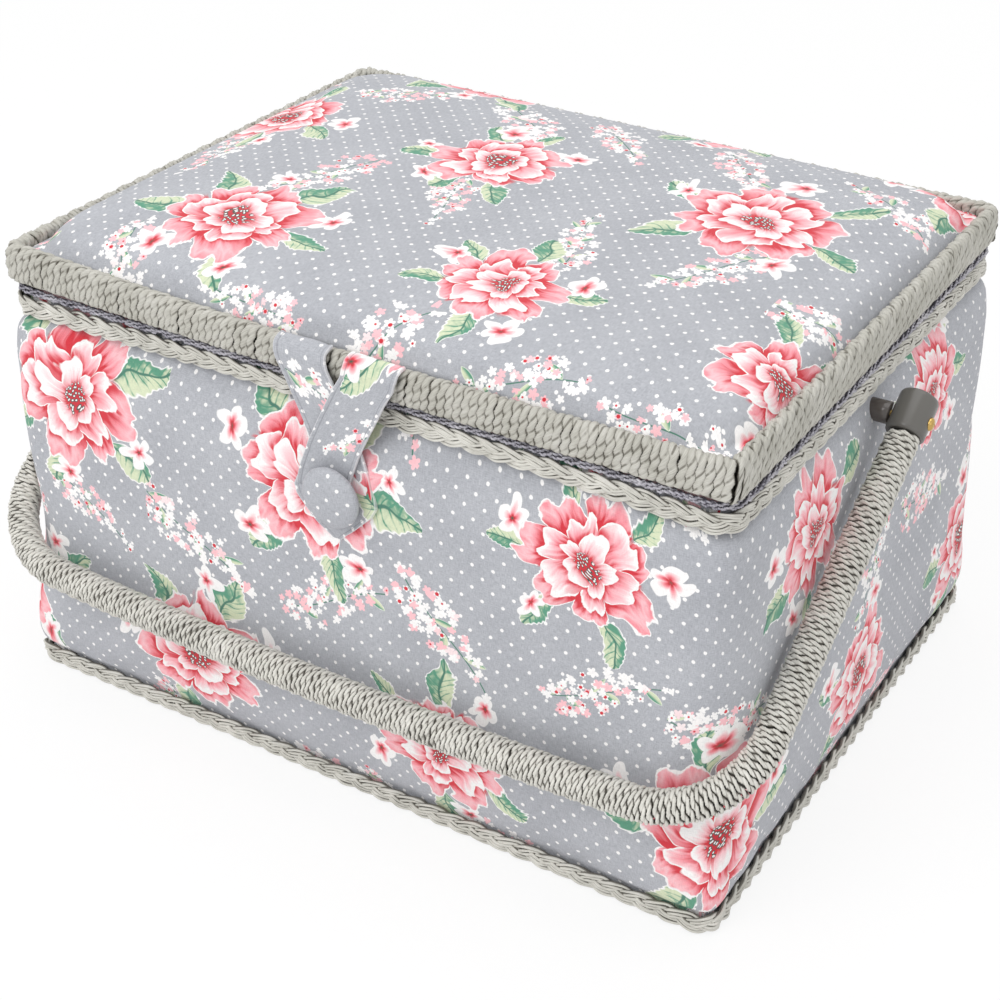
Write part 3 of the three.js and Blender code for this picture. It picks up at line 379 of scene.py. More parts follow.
def sprayGroup():
    # A curved stem with small leaves and loosely scattered florets
    group, local, seed, colour = startGroup("floretSpray")
    x, y, _ = partsOf(local)

    def sideOf(placeX, placeY):
        bend = sine(placeX * 0.062) * 6.0
        return placeY - bend

    side = sideOf(x, y)
    offset = abs(side)
    sign = calc("SIGN", side)
    stem = fade(offset, 0.12, 0.4, 1.0, 0.0) * (abs(x) < 24.0)
    colour = mixColours(stem, colour, "stem")

    # Leaves in pairs along the stem
    slid = mulAdd(sign, 3.2, x)
    inPair = calc("WRAP", slid, 8.0, -8.0)
    number = roundDown((slid + 8.0) / 16.0)
    luck = chance(vectorOf(number, mulAdd(sign, 5.0, seed)))
    along = mulAdd(inPair + 4.0, 0.72, offset * 0.69)
    across = mulAdd(inPair + 4.0, -0.69, offset * 0.72)
    share = along / mulAdd(luck, 4.0, 6.5)
    arch = larger(share, 0.0) * larger(1.0 - share, 0.0)
    halfWidth = arch ** 0.75 * 4.6
    leafDepth = halfWidth - abs(across)
    mask = fade(leafDepth, 0.0, 0.25) * (luck > 0.35)
    mask = mask * (abs(x) < 25.0)
    leaf = mixColours(fade(across, -0.6, 0.8), "leafPale", "leafDark")
    leaf = mixColours(fade(leafDepth, 0.1, 0.5, 1.0, 0.0), leaf, "#EDF0E2")
    colour = mixColours(mask, colour, leaf)

    # Florets: one in each cell of a scatter, inside the spray's outline
    for scale, shift, radius in [(0.21, 0.0, 2.25), (0.25, 31.7, 1.9)]:
        moved = calcVector("ADD", local, vectorOf(mulAdd(seed, 13.0, shift), shift))
        cells = voronoiOn(moved, scale)
        delta = calcVector("SUBTRACT", moved, cells["Position"])
        centreX, centreY, _ = partsOf(calcVector("SUBTRACT", local, delta))
        pick, other, third = partsOf(cells["Color"])
        outline = fade(centreX, -27.0, -12.0, 4.0, 10.5)
        outline = outline * fade(centreX, -6.0, 27.0, 1.0, 0.16)
        held = abs(sideOf(centreX, centreY)) < outline
        held = held * (abs(centreX) < 27.0)
        held = held * (pick > 0.2)
        deltaX, deltaY, _ = partsOf(delta)
        spin = mulAdd(other, 6.0, angleOf(deltaY, deltaX))
        lobes = abs(cosine(spin * 2.5))
        edge = mulAdd(lobes, 0.5, 0.55) * mulAdd(third, radius * 0.45, radius * 0.7)
        distance = calcVector("LENGTH", delta)
        mask = fade(edge - distance, -0.1, 0.2) * held
        petal = mixColours(fade(pick, 0.72, 0.8), "white", "pale")
        heart = fade(distance, 0.3, 0.55, 1.0, 0.0) * (other > 0.8)
        petal = mixColours(heart, petal, "red")
        colour = mixColours(mask, colour, petal)
        bud = fade(distance, 0.65, 0.85, 1.0, 0.0) * (held * (third < 0.08))
        colour = mixColours(bud, colour, "red")
    wire(colour, group.nodes.new("NodeGroupOutput").inputs["Colour"])
    return group


def scatter(cloth, group, shiftX, shiftY, width, height, sizes, jitter, under, seed):
    # One motif in each brick-laid cell, turned, sized and nudged by chance
    x, y, _ = partsOf(calcVector("ADD", cloth, (shiftX, shiftY, 0.0)))
    row = roundDown(y / height)
    slide = calc("PINGPONG", row, 1.0) * (width / 2)
    column = roundDown((x + slide) / width)
    cell = vectorOf(column, row, 0.0)
    seeded = calcVector("ADD", cell, (seed, seed, seed))
    pickA, pickB, pickC = partsOf(chance(seeded, "3D", "Color"))
    centreX = mulAdd(column, width, width / 2) - slide
    centreX = mulAdd(pickA, jitter, centreX - jitter / 2)
    centreY = mulAdd(row, height, height / 2)
    centreY = mulAdd(pickB, jitter, centreY - jitter / 2)
    local = calcVector("SUBTRACT", vectorOf(x, y), vectorOf(centreX, centreY))
    spin = nodeFor((local,), "VectorRotate", rotation_type="Z_AXIS")
    wire(local, spin.inputs["Vector"])
    wire(chance(seeded, "3D") * tau, spin.inputs["Angle"])
    grow = mulAdd(pickC, sizes[1] - sizes[0], sizes[0])
    sized = calcVector("DIVIDE", spin.outputs[0], vectorOf(grow, grow, 1.0))
    motif = nodeFor((cloth,), "Group", node_tree=group)
    return fill(motif, (sized, pickC * 37.0, under))


def printedCloth(name, shift=(0.0, 0.0), hems=False, flowers=True):
    material, tree, shader = startMaterial(name, Roughness=0.86, Sheen_Weight=0.12, Sheen_Roughness=0.6,
                                           Specular_IOR_Level=0.25)
    flat = newNode(tree, "UVMap", uv_map="cloth").outputs[0]
    cloth = calcVector("MULTIPLY_ADD", flat, (1000.0, 1000.0, 0.0), (*shift, 0.0))
    threadNoise = noiseOn(cloth, 0.9, 3.0)
    cloudNoise = noiseOn(cloth, 0.03, 2.0)
    warpNoise = noiseOn(calcVector("MULTIPLY", cloth, (4.2, 0.45, 1.0)), 1.0, 2.0)
    weftNoise = noiseOn(calcVector("MULTIPLY", cloth, (0.45, 4.2, 1.0)), 1.0, 2.0)
    slubs = (warpNoise + weftNoise) * 0.35
    shades = mulAdd(cloudNoise, 0.3, slubs)
    grey = colourRamp(shades, [(0.36, "#A3A5AB"), (0.5, "grey"), (0.64, "#BCBEC3")])
    pitch = (printLook.dotPitchX, printLook.dotPitchY, 1.0)
    dots = []
    for half in (0.0, 0.5):
        moved = calcVector("ADD", cloth, (pitch[0] * half, pitch[1] * half, 0.0))
        x, y, _ = partsOf(moved)
        x = calc("WRAP", x, pitch[0] / 2, -pitch[0] / 2)
        y = calc("WRAP", y, pitch[1] / 2, -pitch[1] / 2)
        dots.append(calcVector("LENGTH", vectorOf(x, y)))
    nearest = mulAdd(threadNoise - 0.5, 0.35, calc("MINIMUM", *dots))
    radius = printLook.dotRadius
    colour = mixColours(fade(nearest, radius - 0.12, radius + 0.12, 1.0, 0.0), grey, "white")
    width, height = printLook.cellWidth, printLook.cellHeight
    if flowers:
        colour = scatter(cloth, sprays, width * 0.46, height * 0.5, width / 2, height, (0.85, 1.15), 10.0,
                         colour, 11.0)
        colour = scatter(cloth, blossoms, 0.0, 0.0, width, height, (0.9, 1.18), 5.0, colour, 3.0)
    # Plain weave
    x, y, _ = partsOf(cloth)
    warp = sine(x * (tau / 0.46))
    weft = sine(y * (tau / 0.5))
    weave = mulAdd(warp * weft, 0.4, slubs * 4.0)
    grain = fade(slubs, 0.27, 0.4, 0.16, 0.0)
    colour = mixColours(grain, colour, "#8A8B93", "MULTIPLY")
    addBump(shader, weave, 0.35, 0.00012)
    if hems:
        # Turned edges: a painted highlight along the fold, and painted shade along the stitch groove beside it
        edge = newNode(tree, "Attribute", attribute_name="hem").outputs["Fac"]
        colour = mixColours(fade(edge, 0.86, 0.97) * 0.55, colour, "#E4E4E6")
        stitchShade = fade(edge, 0.5, 0.57) * fade(edge, 0.57, 0.66, 1.0, 0.0)
        colour = mixColours(stitchShade * 0.5, colour, "#74757D")
    wire(colour, shader.inputs["Base Color"])
    return material


def cordPaper(name, light, middle, dark, shadow, hollowEnd, crackShade, roughness=0.6):
    # Twisted paper cord: fibres run along it, with painted shade in the hollows between plies and turns
    material, tree, shader = startMaterial(name, Roughness=roughness, Specular_IOR_Level=0.4)
    place = objectPlace(tree)
    along, round_, _ = partsOf(newNode(tree, "UVMap", uv_map="strand").outputs[0])
    stretched = vectorOf(along * 0.26, round_ * 30.0)
    fibre = noiseOn(stretched, 1.0, 3.0)
    broad = noiseOn(place, 95.0, 2.0)
    blend = mulAdd(fibre, 0.6, broad * 0.4)
    colour = colourRamp(blend, [(0.3, dark), (0.48, middle), (0.66, light)])
    height = mulAdd(broad - 0.5, 1.1, newNode(tree, "Attribute", attribute_name="rise").outputs["Fac"])
    # Painted shade: darker where the cord's surface sinks in between turns, and in patches along the ply valleys
    hollowShade = fade(height, 0.0, hollowEnd, 0.95, 0.0)
    valley = cosine(round_ * (4 * pi))
    shadePatches = fade(noiseOn(place, 330.0, 1.0), 0.4, 0.6, 0.25, 1.0)
    valleyShade = fade(valley, -1.0, -0.55, crackShade, 0.0) * shadePatches
    colour = mixColours(larger(hollowShade, valleyShade), colour, shadow)
    wire(colour, shader.inputs["Base Color"])
    bumps = mulAdd(fibre, 0.8, valleyShade * -1.0)
    addBump(shader, bumps, 0.5, 0.00025)
    return material


def cloudedLook(name, colour, dark, cloud, edges, **settings):
    # A plain colour with clouds of a darker one: cloud is their scale and detail, edges where they begin and end
    material, tree, shader = startMaterial(name, **settings)
    place = objectPlace(tree)
    clouds = noiseOn(place, *cloud)
    base = paint(colour)
    darker = tuple(dark * c for c in base[:3]) + (1.0,)
    wire(mixColours(fade(clouds, *edges), darker, base), shader.inputs["Base Color"])
    return material, shader, place, clouds


def plainPlastic(name, colour, roughness):
    material, shader, place, _ = cloudedLook(name, colour, 0.95, (60.0, 2.0), (0.3, 0.7), Roughness=roughness)
    addBump(shader, noiseOn(place, 2200.0, 2.0), 0.12, 8e-05)
    return material


def plainMetal(name, colour, roughness):
    material, shader, _, smudge = cloudedLook(name, colour, 0.75, (240.0, 3.0), (0.45, 0.75, 1.0, 0.0),
                                              Metallic=1.0)
    wire(fade(smudge, 0.2, 0.8, roughness * 0.7, roughness * 1.4), shader.inputs["Roughness"])
    return material


def liningCloth(name, colour):
    material, shader, place, _ = cloudedLook(name, colour, 0.86, (45.0, 3.0), (0.3, 0.7), Roughness=0.8,
                                             Sheen_Weight=0.2)
    x, y, z = partsOf(place)
    threads = tau / 0.0006
    addBump(shader, sine((x + y) * threads) * sine((z - y) * threads), 0.25, 0.0001)
    return material


def rawBoard(name, colour):
    material, shader, _, fibre = cloudedLook(name, colour, 0.7, (900.0, 4.0), (0.35, 0.7), Roughness=0.85)
    addBump(shader, fibre, 0.3, 0.0002)
    return material


blossoms = blossomGroup()
sprays = sprayGroup()
looks = {
    "coverCloth": printedCloth("coverCloth", (12.0, 6.0)),
    "lidCloth": printedCloth("lidCloth", (20.0, 118.0)),
    "cushionCloth": printedCloth("cushionCloth", (60.0, 40.0)),
    "strapCloth": printedCloth("strapCloth", (322.0, 262.0), hems=True),
    "dottedCloth": printedCloth("dottedCloth", (3.0, 2.0), flowers=False),
    "cord": cordPaper("cordPaper", "#CBC9C2", "#B9B7AE", "#9F9D93", "#625E54", 0.4, 0.8),
    "gripCord": cordPaper("gripCord", "#E8E6DF", "#D8D6CE", "#BAB8AF", "#5E5A52", 0.42, 0.9),
    "plaitCord": cordPaper("plaitCord", "#E3E1DA", "#CDCBC3", "#A9A79E", "#6C6860", 0.5, 0.4),
    "darkCord": cordPaper("darkCord", "#DAD8DC", "#B2B0B9", "#817E8B", "#524F5A", 0.5, 0.6, 0.75),
    "capPlastic": plainPlastic("capPlastic", "#62605C", 0.26),
    "spacerPlastic": plainPlastic("spacerPlastic", "#5A5450", 0.08),
    "trayPlastic": plainPlastic("trayPlastic", "#EAE8E4", 0.3),
    "brass": plainMetal("rivetBrass", "#C2A262", 0.12),
    "hingeBrass": plainMetal("hingeBrass", "#BFA468", 0.3),
    "steel": plainMetal("pinSteel", "#B8B8B8", 0.3),
    "lining": liningCloth("liningCloth", "#E9C3C8"),
    "board": rawBoard("rawBoard", "#B79A72"),
    # Painted shade: a dark board for the rails, seen only in the gaps between the wraps
    "railShadeBoard": rawBoard("railShadeBoard", "#57524A"),
    "paper": rawBoard("basePaper", "#D9D4C8"),
}

slotLooks = {
    "print_fabric": "coverCloth", "lining_fabric": "lining", "paper_cord": "cord", "dark_cord": "darkCord",
    "board": "board", "base_paper": "paper", "tray_plastic": "trayPlastic", "cap_plastic": "capPlastic",
    "hinge_brass": "hingeBrass", "rivet_brass": "brass", "pin_steel": "steel",
}
for row in frame["record"]["subparts"]:
    node = frame["nodes"][row["node"]]
    node.data.materials.clear()
    look = slotLooks[row["material_slot"]]
    # The rails show only through the gaps between the wraps, so their dark board colour is painted shade
    if row["node"].startswith("lid_rail"):
        look = "railShadeBoard"
    elif row["node"] == "mouth_frame":
        look = "lining"
    node.data.materials.append(looks[look])

# Shape helpers


def boxOf(node):
    # Lowest and highest corner of one of the frame's solids, in mm
    return [SimpleNamespace(x=corner.x / mm, y=corner.y / mm, z=corner.z / mm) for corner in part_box(node)]


def linkMesh(name, mesh, look):
    piece = addObject(name, mesh)
    mesh.materials.clear()
    mesh.materials.append(looks[look])
    mesh.polygons.foreach_set("use_smooth", [True] * len(mesh.polygons))
    return piece


def seat(piece, body, slot, *nodes):
    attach(piece, body)
    if nodes:
        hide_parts(*nodes)


def meshOf(holder):
    return bpy.data.meshes.new_from_object(holder.evaluated_get(bpy.context.evaluated_depsgraph_get()))


def applyModifiers(piece):
    mesh = meshOf(piece)
    piece.modifiers.clear()
    piece.data = mesh


def cordProfile(radius, depth, count, flat=1.0):
    # Closed outline of a cord of two plies: its radius in mm and the share of it that the hollows take
    curve = bpy.data.curves.new("ply", "CURVE")
    curve.dimensions = "2D"
    spline = curve.splines.new("POLY")
    spline.points.add(count - 1)
    for k, point in enumerate(spline.points):
        angle = tau * k / count
        reach = radius * mm * (1 - depth + depth * cos(2 * angle))
        point.co = (reach * cos(angle), reach * sin(angle) * flat, 0.0, 1.0)
    spline.use_cyclic_u = True
    return addObject("ply", curve)


def pathOf(count, at):
    # The places in metres, tilts in radians and ways out of what the cord lies on that at gives for each step
    return list(zip(*(at(k) for k in range(count))))


def sweepCords(name, runs, ply, look, closed=False, press=1.0):
    # Each run is the path of one cord, and ply says what cordProfile draws
    profile = cordProfile(*ply)
    curve = bpy.data.curves.new(name, "CURVE")
    curve.dimensions = "3D"
    curve.twist_mode = "Z_UP" if closed else "MINIMUM"
    curve.bevel_mode = "OBJECT"
    curve.bevel_object = profile
    for points, tilts, _ in runs:
        spline = curve.splines.new("POLY")
        spline.points.add(len(points) - 1)
        places = np.ones((len(points), 4), np.float32)
        places[:, :3] = points
        spline.points.foreach_set("co", places.ravel())
        spline.points.foreach_set("tilt", np.asarray(tilts, np.float32))
        spline.use_cyclic_u = closed
    holder = addObject(name + "Path", curve)
    mesh = meshOf(holder)
    bpy.data.objects.remove(holder)
    pressCords(mesh, runs, len(profile.data.splines[0].points), press)
    bpy.data.objects.remove(profile)
    mapStrand(mesh, lengthOf(runs[0][0]))
    print(name, "cord, m:", round(sum(lengthOf(run[0]) for run in runs), 2))
    whole = bmesh.new()
    whole.from_mesh(mesh)
    bmesh.ops.holes_fill(whole, edges=whole.edges, sides=0)
    whole.to_mesh(mesh)
    whole.free()
    return linkMesh(name, mesh, look)


def pressCords(mesh, runs, count, press):
    # Flattens each cord against what it lies on, and keeps how far out of it each vertex was
    places = np.empty(len(mesh.vertices) * 3, np.float32)
    mesh.vertices.foreach_get("co", places)
    places = places.reshape(-1, 3)
    rises = np.zeros(len(places), np.float32)
    start = 0
    for points, _, outs in runs:
        path = np.repeat(np.array([tuple(point) for point in points]), count, axis=0)
        out = np.repeat(np.array([tuple(way) for way in outs]), count, axis=0)
        span = slice(start, start + len(path))
        rise = ((places[span] - path) * out).sum(axis=1)
        kept = press + (1 - press) * np.clip(out[:, 2], 0, 1) * 0.75
        places[span] -= out * (rise * (1 - kept))[:, None]
        rises[span] = rise
        start += len(path)
    mesh.vertices.foreach_set("co", places.ravel())
    layer = mesh.attributes.new("rise", "FLOAT", "POINT")
    layer.data.foreach_set("value", rises / np.abs(rises).max())


def lengthOf(points):
    path = np.array([tuple(point) for point in points])
    return float(np.linalg.norm(np.diff(path, axis=0), axis=1).sum())


def mapStrand(mesh, length):
    # The curve's own map goes from 0 to 1 along its length: it becomes millimetres
    layer = mesh.uv_layers[0]
    layer.name = "strand"
    places = np.empty(len(layer.data) * 2, np.float32)
    layer.data.foreach_get("uv", places)
    places[0::2] *= length / mm
    layer.data.foreach_set("uv", places)


def planStops(halfX, halfY, radius, frontRadius):
    # Shares of the way round a rounded rectangle where its sides and corners meet, from the back's middle
    backX, backY = halfX - radius, halfY - radius
    frontX, frontY = halfX - frontRadius, halfY - frontRadius
    back, front = radius * pi / 2, frontRadius * pi / 2
    lengths = [backX, back, backY + frontY, front, 2 * frontX, front, frontY + backY, back, backX]
    total = sum(lengths)
    return [0.0, *(np.cumsum(lengths) / total)], total


def planAt(share, stops, halfX, halfY, radius, frontRadius):
    # Place on the rounded rectangle, the way out of it, and the run with the share passed along it
    run = min(max(bisect.bisect_right(stops, share) - 1, 0), 8)
    along = (share - stops[run]) / (stops[run + 1] - stops[run])
    backX, backY = halfX - radius, halfY - radius
    frontX, frontY = halfX - frontRadius, halfY - frontRadius
    corners = {1: (-backX, backY, radius, 90), 3: (-frontX, -frontY, frontRadius, 180),
               5: (frontX, -frontY, frontRadius, 270), 7: (backX, backY, radius, 0)}
    if run in corners:
        centreX, centreY, bend, start = corners[run]
        angle = radians(start + 90 * along)
        outX, outY = cos(angle), sin(angle)
        return centreX + bend * outX, centreY + bend * outY, outX, outY, run, along
    sides = {0: (0, halfY, -backX, halfY, 0, 1), 2: (-halfX, backY, -halfX, -frontY, -1, 0),
             4: (-frontX, -halfY, frontX, -halfY, 0, -1), 6: (halfX, -frontY, halfX, backY, 1, 0),
             8: (backX, halfY, 0, halfY, 0, 1)}
    fromX, fromY, toX, toY, outX, outY = sides[run]
    return (fromX + (toX - fromX) * along, fromY + (toY - fromY) * along, outX, outY, run, along)


def gridCloth(name, columns, rows, place, look, seam=False):
    # A grid of cloth: place gives each share across and up its point and its place on the cloth, in mm
    sheet = bmesh.new()
    bmesh.ops.create_grid(sheet, x_segments=columns, y_segments=rows, size=0.5)
    layer = sheet.loops.layers.uv.new("cloth")
    for vertex in sheet.verts:
        point, flat = place(vertex.co.x + 0.5, vertex.co.y + 0.5)
        vertex.co = Vector(point) * mm
        for loop in vertex.link_loops:
            loop[layer].uv = (flat[0] * mm, flat[1] * mm)
    if seam:
        bmesh.ops.remove_doubles(sheet, verts=sheet.verts, dist=0.00001)
    bmesh.ops.recalc_face_normals(sheet, faces=sheet.faces)
    return linkMesh(name, meshFrom(name, sheet), look)


def meshFrom(name, shape):
    mesh = bpy.data.meshes.new(name)
    shape.to_mesh(mesh)
    shape.free()
    return mesh


def addShell(piece, thickness, offset=-1):
    shell = piece.modifiers.new("thickness", "SOLIDIFY")
    shell.thickness = thickness * mm
    shell.offset = offset


def thicken(piece, thickness, offset=-1, smooth=False):
    if smooth:
        subdivide = piece.modifiers.new("smooth", "SUBSURF")
        subdivide.levels = subdivide.render_levels = 1
    addShell(piece, thickness, offset)
    applyModifiers(piece)


def turnTowards(piece, way):
    # Makes the faces of an open cloth look the way given
    total = sum((face.normal * face.area for face in piece.data.polygons), Vector())
    if total.dot(Vector(way)) < 0:
        piece.data.flip_normals()


def table(shares, values, share):
    return float(np.interp(share, shares, values))


# Padded cloth settles under a light pressure, held along its edges
settling = SimpleNamespace(frames=20, pressure=4.0, mass=0.2, stiffness=12.0, bending=0.3, quality=6)


def settle(piece, held, sizes):
    # held says which places stay; sizes has the cloth's slack and the furthest it moves, in mm
    scene = bpy.context.scene
    before = np.empty(len(piece.data.vertices) * 3, np.float32)
    piece.data.vertices.foreach_get("co", before)
    pins = piece.vertex_groups.new(name="held")
    pins.add([vertex.index for vertex in piece.data.vertices if held(vertex.co / mm)], 1.0, "REPLACE")
    cloth = piece.modifiers.new("cloth", "CLOTH")
    cloth.point_cache.frame_start, cloth.point_cache.frame_end = 1, settling.frames
    cloth.collision_settings.use_collision = False
    cloth.settings.quality = settling.quality
    cloth.settings.mass = settling.mass
    cloth.settings.tension_stiffness = cloth.settings.compression_stiffness = settling.stiffness
    cloth.settings.bending_stiffness = settling.bending
    cloth.settings.vertex_group_mass = "held"
    cloth.settings.shrink_min = -sizes.slack
    cloth.settings.use_pressure = True
    cloth.settings.uniform_pressure_force = settling.pressure
    cloth.settings.effector_weights.gravity = 0
    for step in range(1, settling.frames + 1):
        scene.frame_set(step)
    moved = meshOf(piece)
    after = np.empty_like(before)
    moved.vertices.foreach_get("co", after)
    bpy.data.meshes.remove(moved)
    piece.modifiers.remove(cloth)
    piece.vertex_groups.clear()
    shift = (after - before).reshape(-1, 3)
    reach = np.linalg.norm(shift, axis=1)
    limit = sizes.furthest * mm
    shift *= (limit * np.tanh(reach / limit) / np.maximum(reach, 1e-9))[:, None]
    piece.data.vertices.foreach_set("co", (before.reshape(-1, 3) + shift).ravel())
    scene.frame_set(1)
    print(piece.name, "settled, mm:", round(float(reach.mean()) / mm, 2), round(float(reach.max()) / mm, 2))


# Padded cover of the case
cover = SimpleNamespace(
    footHalf=(157.2, 122.7), mouthHalf=(150.3, 115.8), footRadius=5.0, mouthRadius=6.5,
    fullness=5.0, frontCrown=2.2, sideCrown=1.0, softening=0.2,
    pressedRadius=8.0, pressedHeight=68.0, pressedReach=26.0,
    dimpleShare=0.3, dimpleRadius=18.0, thickness=1.0, overlap=0.3,
    edgeGather=0.85, heldFoot=7, heldMouth=9, slack=0.012, furthest=1.6,
    swellHeightShares=[0, 0.015, 0.05, 0.1, 0.22, 0.34, 0.43, 0.52, 0.63, 0.78, 0.9, 0.965, 0.99, 1],
    swellFullnessShares=[0, 0.5, 0.72, 0.78, 0.79, 0.82, 0.84, 0.86, 0.89, 0.98, 1, 0.86, 0.48, 0],
    swellCrownShares=[0, 0.1, 0.3, 0.6, 1, 1, 1, 1, 0.98, 0.9, 0.75, 0.5, 0.15, 0],
    columns=230, rows=46,
)


coverLow = boxOf("base_braid")[1].z + cover.overlap
coverHigh = boxOf("mouth_braid")[0].z - cover.overlap


def coverSize(z):
    climb = min(max((z - coverLow) / (coverHigh - coverLow), 0), 1)
    full = cover.fullness * table(cover.swellHeightShares, cover.swellFullnessShares, climb)
    crown = table(cover.swellHeightShares, cover.swellCrownShares, climb)
    half = [foot + (mouth - foot) * climb + full for foot, mouth in zip(cover.footHalf, cover.mouthHalf)]
    radius = cover.footRadius + (cover.mouthRadius - cover.footRadius) * climb
    radius += full * cover.softening
    pressed = exp(-(((z - cover.pressedHeight) / cover.pressedReach) ** 2))
    return half, radius, radius + cover.pressedRadius * pressed, crown, full


def coverFront(z):
    half, _, _, crown, _ = coverSize(z)
    return half[1] + cover.frontCrown * crown


pivot = Vector(frame["joints"][1]["pos_m"])


def makeCover():
    bottom, top = (corner.z for corner in boxOf("body_cover"))
    middle, radius, frontRadius, _, _ = coverSize((bottom + top) / 2)
    stops, length = planStops(*middle, radius, frontRadius)

    def place(across, up):
        z = bottom + (top - bottom) * (up - sin(tau * up) * cover.edgeGather / tau)
        half, radius, frontRadius, crown, full = coverSize(z)
        x, y, outX, outY, run, along = planAt(across, stops, *half, radius, frontRadius)
        bulge = 0.0
        if run == 4:
            bulge = cover.frontCrown * crown * (1 - (2 * along - 1) ** 2)
        elif run in (0, 8):
            half = along if run == 0 else along - 1
            bulge = cover.frontCrown * crown * (1 - half ** 2)
        elif run in (2, 6):
            bulge = cover.sideCrown * crown * (1 - (2 * along - 1) ** 2)
            away = hypot(y, z - pivot.z / mm) / cover.dimpleRadius
            bulge -= cover.dimpleShare * full * exp(-(away ** 2))
        return (x + outX * bulge, y + outY * bulge, z), (across * length, z)

    piece = gridCloth("padded_cover", cover.columns, cover.rows, place, "coverCloth", seam=True)
    settle(piece, lambda at: at.z < bottom + cover.heldFoot or at.z > top - cover.heldMouth, cover)
    thicken(piece, cover.thickness, smooth=True)
    seat(piece, "box", "print_fabric", "body_cover")


makeCover()

# Crowned pad of the lid
lidPad = SimpleNamespace(
    insetShares=[0, 0.005, 0.022, 0.044, 0.075, 0.13, 0.27, 0.53, 0.85, 1],
    riseShares=[0, 0.155, 0.4, 0.58, 0.69, 0.79, 0.89, 0.97, 1, 1],
    side=7.3, cornerRadius=5.0, cornerSoftness=9.0, columns=120, rows=92, thickness=1.0,
    edgeGather=0.75, held=1.5, slack=0.008, furthest=1.2,
)


def makeLidPad():
    low, high = boxOf("lid_pad")
    halfX, halfY, top = high.x, high.y, high.z
    edge = low.z + lidPad.side
    flatX, flatY = halfX + lidPad.side, halfY + lidPad.side

    steps = np.diff(lidPad.insetShares) * halfY
    climbs = np.diff(lidPad.riseShares) * (top - edge)
    spare = np.hypot(steps, climbs) - steps
    extra = [*np.cumsum(spare[::-1])[::-1], 0.0]

    def onCloth(away, half):
        # Place on the cloth, which is longer than the pad is wide because it climbs the pad's edge
        inset = max(half - abs(away), 0) / halfY
        return away + copysign(table(lidPad.insetShares, extra, inset), away)

    def gather(share):
        # Finer steps near both edges of the sheet
        return 2 * (share - sin(tau * share) * lidPad.edgeGather / tau) - 1

    def place(across, up):
        flat = (gather(across) * flatX, gather(up) * flatY)
        radius = lidPad.cornerRadius
        outX = abs(flat[0]) - (halfX - radius)
        outY = abs(flat[1]) - (halfY - radius)
        outside = hypot(max(outX, 0), max(outY, 0)) + min(max(outX, outY), 0) - radius
        x, y = flat
        if outside > 0:
            if outX > 0 and outY > 0:
                reach = hypot(outX, outY)
                x = copysign(halfX - radius + radius * outX / reach, flat[0])
                y = copysign(halfY - radius + radius * outY / reach, flat[1])
            else:
                x = min(max(x, -halfX), halfX)
                y = min(max(y, -halfY), halfY)
            return (x, y, edge - min(outside, lidPad.side)), (onCloth(flat[0], halfX), onCloth(flat[1], halfY))
        soft = lidPad.cornerSoftness
        insetX, insetY = halfX - abs(x), halfY - abs(y)
        inset = -soft * log(exp(-insetX / soft) + exp(-insetY / soft))
        inset = max(min(inset, insetX, insetY), 0)
        rise = table(lidPad.insetShares, lidPad.riseShares, inset / halfY)
        return (x, y, edge + (top - edge) * rise), (onCloth(x, halfX), onCloth(y, halfY))

    piece = gridCloth("padded_lid", lidPad.columns, lidPad.rows, place, "lidCloth")
    turnTowards(piece, (0, 0, 1))
    settle(piece, lambda at: at.z < edge + lidPad.held, lidPad)
    thicken(piece, lidPad.thickness, smooth=True)
    seat(piece, "lid", "print_fabric", "lid_pad")


makeLidPad()

# Cord wound round the lid's four rails
rim = SimpleNamespace(
    depthShares=[0.3, 0.09, 0, 0.11, 0.37, 0.68, 1, 1],
    heightShares=[0, 0.13, 0.6, 0.86, 1, 0.985, 0.84, 0],
    bandWidth=6.5, cornerRadius=5.0, gap=0.15, wrapPitch=3.25, cordRadius=2.1, plyDepth=0.2,
    inset=1.0, plyTurns=3.25, stepsPerTurn=48, profilePoints=10, wander=0.16, press=0.32,
    height=15.8, sag=3.5, bulge=2.2, bowMiddle=8, bowReach=150, curveSteps=12,
)


def frontBow(x):
    # How far along its bow the front's edge is: 1 near its middle and 0 at its corners
    return max(0.0, 1 - ((x - rim.bowMiddle) / rim.bowReach) ** 2)


def rimSection(inset):
    # Even places round the rail's outline, drawn in by half the cord
    low, high = boxOf("lid_wrap_front")
    height = high.z - low.z
    corners = [Vector((depth * rim.bandWidth, rise * height)) for depth, rise in
               zip(rim.depthShares, rim.heightShares)]
    centre = Vector((rim.bandWidth / 2, height / 2))
    dense = []
    count = len(corners)
    for k in range(count):
        before, here, after, later = (corners[(k + j) % count] for j in (-1, 0, 1, 2))
        for step in range(rim.curveSteps):
            t = step / rim.curveSteps
            dense.append(0.5 * (2 * here + (after - before) * t
                                + (2 * before - 5 * here + 4 * after - later) * t ** 2
                                + (3 * here - before - 3 * after + later) * t ** 3))
    drawn = [Vector(((point.x - centre.x) * (1 - 2 * inset / rim.bandWidth),
                     (point.y - centre.y) * (1 - 2 * inset / height))) + centre for point in dense]
    lengths = [0.0]
    for k in range(len(drawn)):
        lengths.append(lengths[-1] + (drawn[(k + 1) % len(drawn)] - drawn[k]).length)
    loop = drawn + [drawn[0]]
    even = []
    for step in range(rim.stepsPerTurn):
        travel = lengths[-1] * step / rim.stepsPerTurn
        even.append((table(lengths, [p.x for p in loop], travel), table(lengths, [p.y for p in loop], travel)))
    outs = []
    for k in range(len(even)):
        ahead = Vector(even[(k + 1) % len(even)]) - Vector(even[k - 1])
        out = Vector((ahead.y, -ahead.x)).normalized()
        outs.append(out if out.dot(Vector(even[k]) - centre) > 0 else -out)
    return even, outs, low.z


